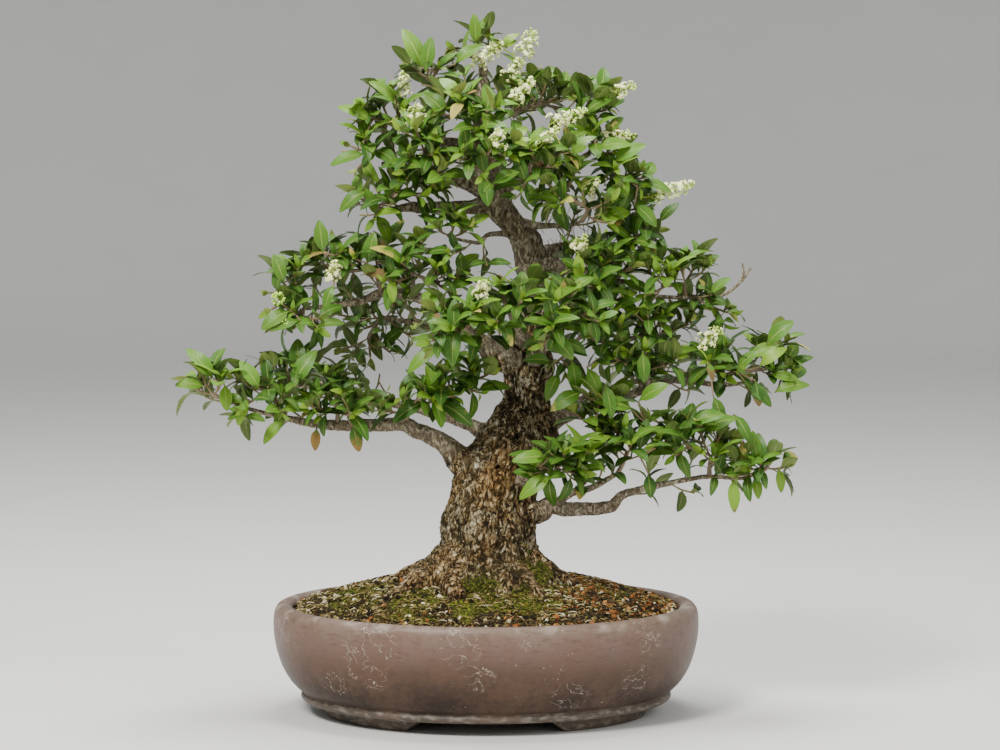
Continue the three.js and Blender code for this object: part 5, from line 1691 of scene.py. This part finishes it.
def build_foliage(number, name, stems, shoots, extras, room):
    """One spray: stems, shoots, side shoots and their leaves, bright and small at the tips."""
    seed = 100 * (number + 1)
    random = np.random.RandomState(seed)
    young_share = 0.11 + 0.2 * draw(seed, 90)
    leaves = [(place, age, worn) for place, _, age, worn in extras["lone"]]
    branched = []

    def keep(place, age, apart):
        if room.takes(place, apart):
            # One leaf in twenty is badly worn, and three more are worn a little.
            odd = random.uniform()
            worn = 0.75 * random.uniform(0.3, 1) if odd < 0.05 else 0.18 if odd < 0.2 else 0
            leaves.append((place, age, worn))

    for i, line in enumerate(shoots):
        own = seed + 7 * i
        base_age = 0.22 if draw(own, 30) < young_share else 0.62
        for pair in range(2 if tip_length(line) < LONG_SHOOT else 3):
            for which in range(2):
                age = base_age + 0.16 * pair + 0.14 * random.uniform()
                keep(leaf_place(line, own, pair, which), min(age, 1), LEAF_SPACING)
        for place in young_leaves(line, own):
            keep(place, 0.05 + 0.25 * random.uniform(), apart=0)
        branched += side_shoots(line, own, spacing=13, first=8)
    for i, line in enumerate(stems):
        branched += side_shoots(line, seed + 300 + i, spacing=12, first=9)
    branched += extras["inner"]
    # Painted shade: leaves on the inner side shoots get a high age, so their darker green stands for shade
    # inside the crown as well as age.
    for i, line in enumerate(branched):
        own = seed + 500 + 7 * i
        for pair, which in np.ndindex(2, 2):
            scale = random.uniform(0.6, 0.98)
            age = 0.6 + 0.2 * pair + 0.3 * random.uniform()
            keep(leaf_place(line, own, pair, which, scale), age, INNER_LEAF_SPACING)
        if i % 2:
            for place in young_leaves(line, own):
                keep(place, 0.1 + 0.25 * random.uniform(), apart=2)
    skin = Skin("age", "tint", "blotch")
    add_leaves(skin, leaves, random)
    add_twigs(skin, stems, sides=8, levels=14, age=0.9)
    stalks = [line for _, line, _, _ in extras["lone"]] + [line for _, _, line in extras["buds"]]
    add_twigs(skin, shoots + stalks, sides=6, levels=9, age=0.45)
    for middle, reach, _ in extras["buds"]:
        way = unit(random.normal(size=(int(5 * reach), 3)))
        size = np.full(len(way), 0.11 * reach + 0.3)
        add_buds(skin, random, middle + way * 0.5 * reach, way, size, np.ones(len(way)), slot=3)
    add_twigs(skin, branched, sides=5, levels=5, age=0.2)
    add_twigs(skin, extras["bare"], sides=4, levels=5, age=0.6)
    made = skin.shape(f"foliage_{name}", [LEAF_TOP, LEAF_UNDER, TWIG_BARK, FLOWER_BUD])
    seat(made, [f"spray_{name}"], "leaf", sharp_degrees=84)


# The flowers.

FLORET_SIZE = 2.9
FLORETS_IN_CLUSTER = 5
# Rings of an open floret: how far out its lobes and its notches reach, and how far up.
FLORET_RINGS = [[0.2, 0.2, 0, 0], [0.26, 0.26, 0.7, 0.7], [1.0, 0.5, 0.6, 0.86], [0.66, 0.34, 0.94, 0.96]]
# Radii of a panicle's stalk, from its root on the twig to its tip.
PANICLE_RADII = [0.8, 0.75, 0.7, 0.35]
SIDE_STALK_RADIUS = 0.28


def add_florets(skin, random, spots, way, size):
    """Open flowers: a short tube that ends in four broad bent-back lobes, as rings of twelve points."""
    lobe = np.arange(12) % 3 > 0
    lobe_wide, notch_wide, lobe_tall, notch_tall = np.array(FLORET_RINGS).T[..., None]
    wide = np.where(lobe, lobe_wide, notch_wide)[..., None]
    tall = np.where(lobe, lobe_tall, notch_tall)[..., None]
    along = [[0], [0.4], [1], [0.7]]
    out = spokes(way, random, 12)
    add_blobs(skin, spots, way, out, size, wide, tall, 0.3, 0.84 * size[:, None], along=along)


def add_buds(skin, random, spots, way, size, green, slot=1):
    """Closed buds: egg shapes of three rings of five points."""
    wide = each([0.55, 1.0, 0.7])
    tall = each([0.1, 1.0, 2.0])
    along = [[0.1], [0.5], [0.85]]
    out = spokes(way, random, 5)
    top = 2.5 * size[:, None]
    add_blobs(skin, spots, way, out, size, wide, tall, 0.2, top, slot, along=along, tint=each(green))


def build_bloom(number, name, row, carriers):
    """One panicle: a stalk whose side stalks end in clusters, open flowers below and buds at the tip."""
    base_row, tip_row, half_width = row
    random = np.random.RandomState(700 + number)
    base = placed(base_row)
    span = placed(tip_row) - base
    length = np.linalg.norm(span)
    axis = span / length
    side = unit(np.cross(UPRIGHT, axis))
    clusters = int(5 + 0.32 * length)
    seat_number = np.repeat(np.arange(clusters), FLORETS_IN_CLUSTER)
    share = (seat_number + 0.5) / clusters
    reach = (half_width * (1 - 0.6 * share))[:, None]
    out = turned(side, np.cross(axis, side), GOLDEN_ANGLE * seat_number + number)
    way = unit(out + axis * (0.3 + 0.9 * share)[:, None])
    seats = base + span * share[:, None] * 0.97
    spread = unit(random.normal(size=way.shape) + 0.7 * way + [0, -0.3, 0.5])
    heads = seats + way * 0.66 * reach + spread * (0.36 * reach + 1.2)
    looks = unit(spread + 0.3 * way)
    skin = Skin("tint")
    root = nearest(base, carriers)[1]
    stalk = np.array([root, base + (root - base) * 0.4, base, base + span - axis])
    curve = smooth_path(np.column_stack([stalk, PANICLE_RADII])[None], 16)
    skin.add_tubes(curve[..., :3], curve[..., 3], sides=6, slot=2)
    side_stalks = smooth_path(np.stack([seats, seats + way * reach * 0.6, heads], axis=1), 4)
    skin.add_tubes(side_stalks, SIDE_STALK_RADIUS, sides=3, slot=2)
    opened = random.uniform(0, 1, len(share)) > 0.16 + 0.75 * share ** 2
    size = FLORET_SIZE * random.uniform(0.8, 1.1, len(share))
    add_florets(skin, random, heads[opened], looks[opened], size[opened])
    shut = ~opened
    green = np.clip(share[shut] * 1.2 - 0.4 + random.uniform(-0.2, 0.2, shut.sum()), 0, 1)
    add_buds(skin, random, heads[shut], looks[shut], size[shut] * 0.42, green)
    seat(skin.shape(f"flowers_{name}", [PETAL, FLOWER_BUD, FLOWER_STALK]), [f"bloom_{name}"], "floret")


# Floor, light and camera.

FLOOR_RADIUS = 8600
FLOOR_RISE = 3600
FLOOR_LEVELS, FLOOR_SIDES = 60, 96
# What the lights look at, in metres.
LIT_PLACE = (0, 0, 0.35)


def build_floor():
    """A pale floor: a wide flat disc that curves up all round, far outside the camera's reach."""
    share = np.linspace(0, 1, FLOOR_LEVELS)[:, None]
    turn = round_turn(FLOOR_SIDES)
    height = FLOOR_RISE * np.clip((share - 0.6) / 0.4, 0, 1) ** 2
    rings = level_points(FLOOR_RADIUS * share + 40, turn, height)
    points = np.concatenate([rings.reshape(-1, 3), [[0, 0, 0]]]) * 0.001
    number = np.arange(len(points) - 1).reshape(len(share), len(turn))
    after = np.roll(number, -1, axis=1)
    quads = np.stack([number[:-1], number[1:], after[1:], after[:-1]], axis=-1).reshape(-1, 4)
    tris = np.stack([np.full(len(turn), len(points) - 1), number[0], after[0]], axis=-1)
    mesh = bpy.data.meshes.new("floor")
    mesh.from_pydata(points.tolist(), [], quads.tolist() + tris.tolist())
    mesh.polygons.foreach_set("use_smooth", np.ones(len(mesh.polygons), bool))
    mesh.materials.append(FLOOR)
    floor = in_scene("floor", mesh)


def add_light(name, place, size, power, color):
    """A soft square light that looks at the tree's middle."""
    data = bpy.data.lights.new(name, "AREA")
    data.size = size
    data.energy = power
    data.color = color
    light = in_scene(name, data)
    light.location = place
    way = mathutils.Vector(LIT_PLACE) - light.location
    light.rotation_euler = way.to_track_quat("-Z", "Y").to_euler()


def build_studio():
    """Soft light: a big key from the upper left front, a fill, a top light and an even pale world."""
    world = bpy.data.worlds.new("studio")
    bpy.context.scene.world = world
    world.use_nodes = True
    background = world.node_tree.nodes["Background"]
    background.inputs["Color"].default_value = (0.96, 0.98, 1.0, 1)
    background.inputs["Strength"].default_value = 0.6
    add_light("key", (-1.2, -1.8, 2.5), 0.8, 124, (1.0, 0.98, 0.94))
    add_light("fill", (2.2, -1.6, 1.6), 1.4, 32, (1.0, 0.99, 0.97))
    add_light("top", (0.1, 0.3, 2.6), 1.0, 80, (1.0, 1.0, 1.0))


def build_camera():
    """The camera of the photograph: level with the crown and tipped a little down."""
    data = bpy.data.cameras.new("camera")
    data.lens = LENS
    data.sensor_width = 36
    data.clip_end = 60
    camera = in_scene("camera", data)
    camera.location = (np.array([VIEW_X, -VIEW_DISTANCE, VIEW_HEIGHT]) + POT_MIDDLE) * 0.001
    camera.rotation_euler = (math.radians(90 - VIEW_PITCH_DEGREES), 0, 0)
    bpy.context.scene.camera = camera


# The whole.

build_pot()
build_screen("left", -DRAIN_X)
build_screen("right", DRAIN_X)
build_soil()
build_grains()
branches = [placed(rows) for rows in BRANCHES.values()]
build_moss(*build_wood(branches))

wood_lines = [np.array(TRUNK, float), *branches]
wood = pieces_of(wood_lines)
lines = {name: spray_lines(forks, wood, 100 * (i + 1)) for i, (name, forks) in enumerate(SPRAYS.items())}
carriers = pieces_of(wood_lines + [line for stems, shoots in lines.values() for line in stems + shoots])
extras = {name: {"inner": [], "lone": [], "bare": [], "buds": []} for name in lines}
leaf_room = LeafRoom(wood)


def give(kind, place, thing):
    """Gives a shoot, leaf, bare twig or bud cluster to the spray whose last hub is closest to a place."""
    closest = min(lines, key=lambda name: np.linalg.norm(lines[name][0][-1][-1, :3] - place))
    extras[closest][kind].append(thing)


for line in branch_shoots(branches):
    give("inner", line[-1, :3], line)
for row in LONE_LEAVES:
    leaf = lone_leaf(row, carriers)
    leaf_room.takes(leaf[0], apart=0)
    give("lone", leaf[0][0], leaf)
for row in TANGLES:
    for line in tangle(row, carriers):
        give("bare", line[-1, :3], line)
for row in BUD_CLUSTERS:
    cluster = bud_cluster(row, carriers)
    give("buds", cluster[0], cluster)
for i, (name, (stems, shoots)) in enumerate(lines.items()):
    build_foliage(i, name, stems, shoots, extras[name], leaf_room)
for i, (name, row) in enumerate(BLOOMS.items()):
    build_bloom(i, name, row, carriers)

build_floor()
build_studio()
build_camera()
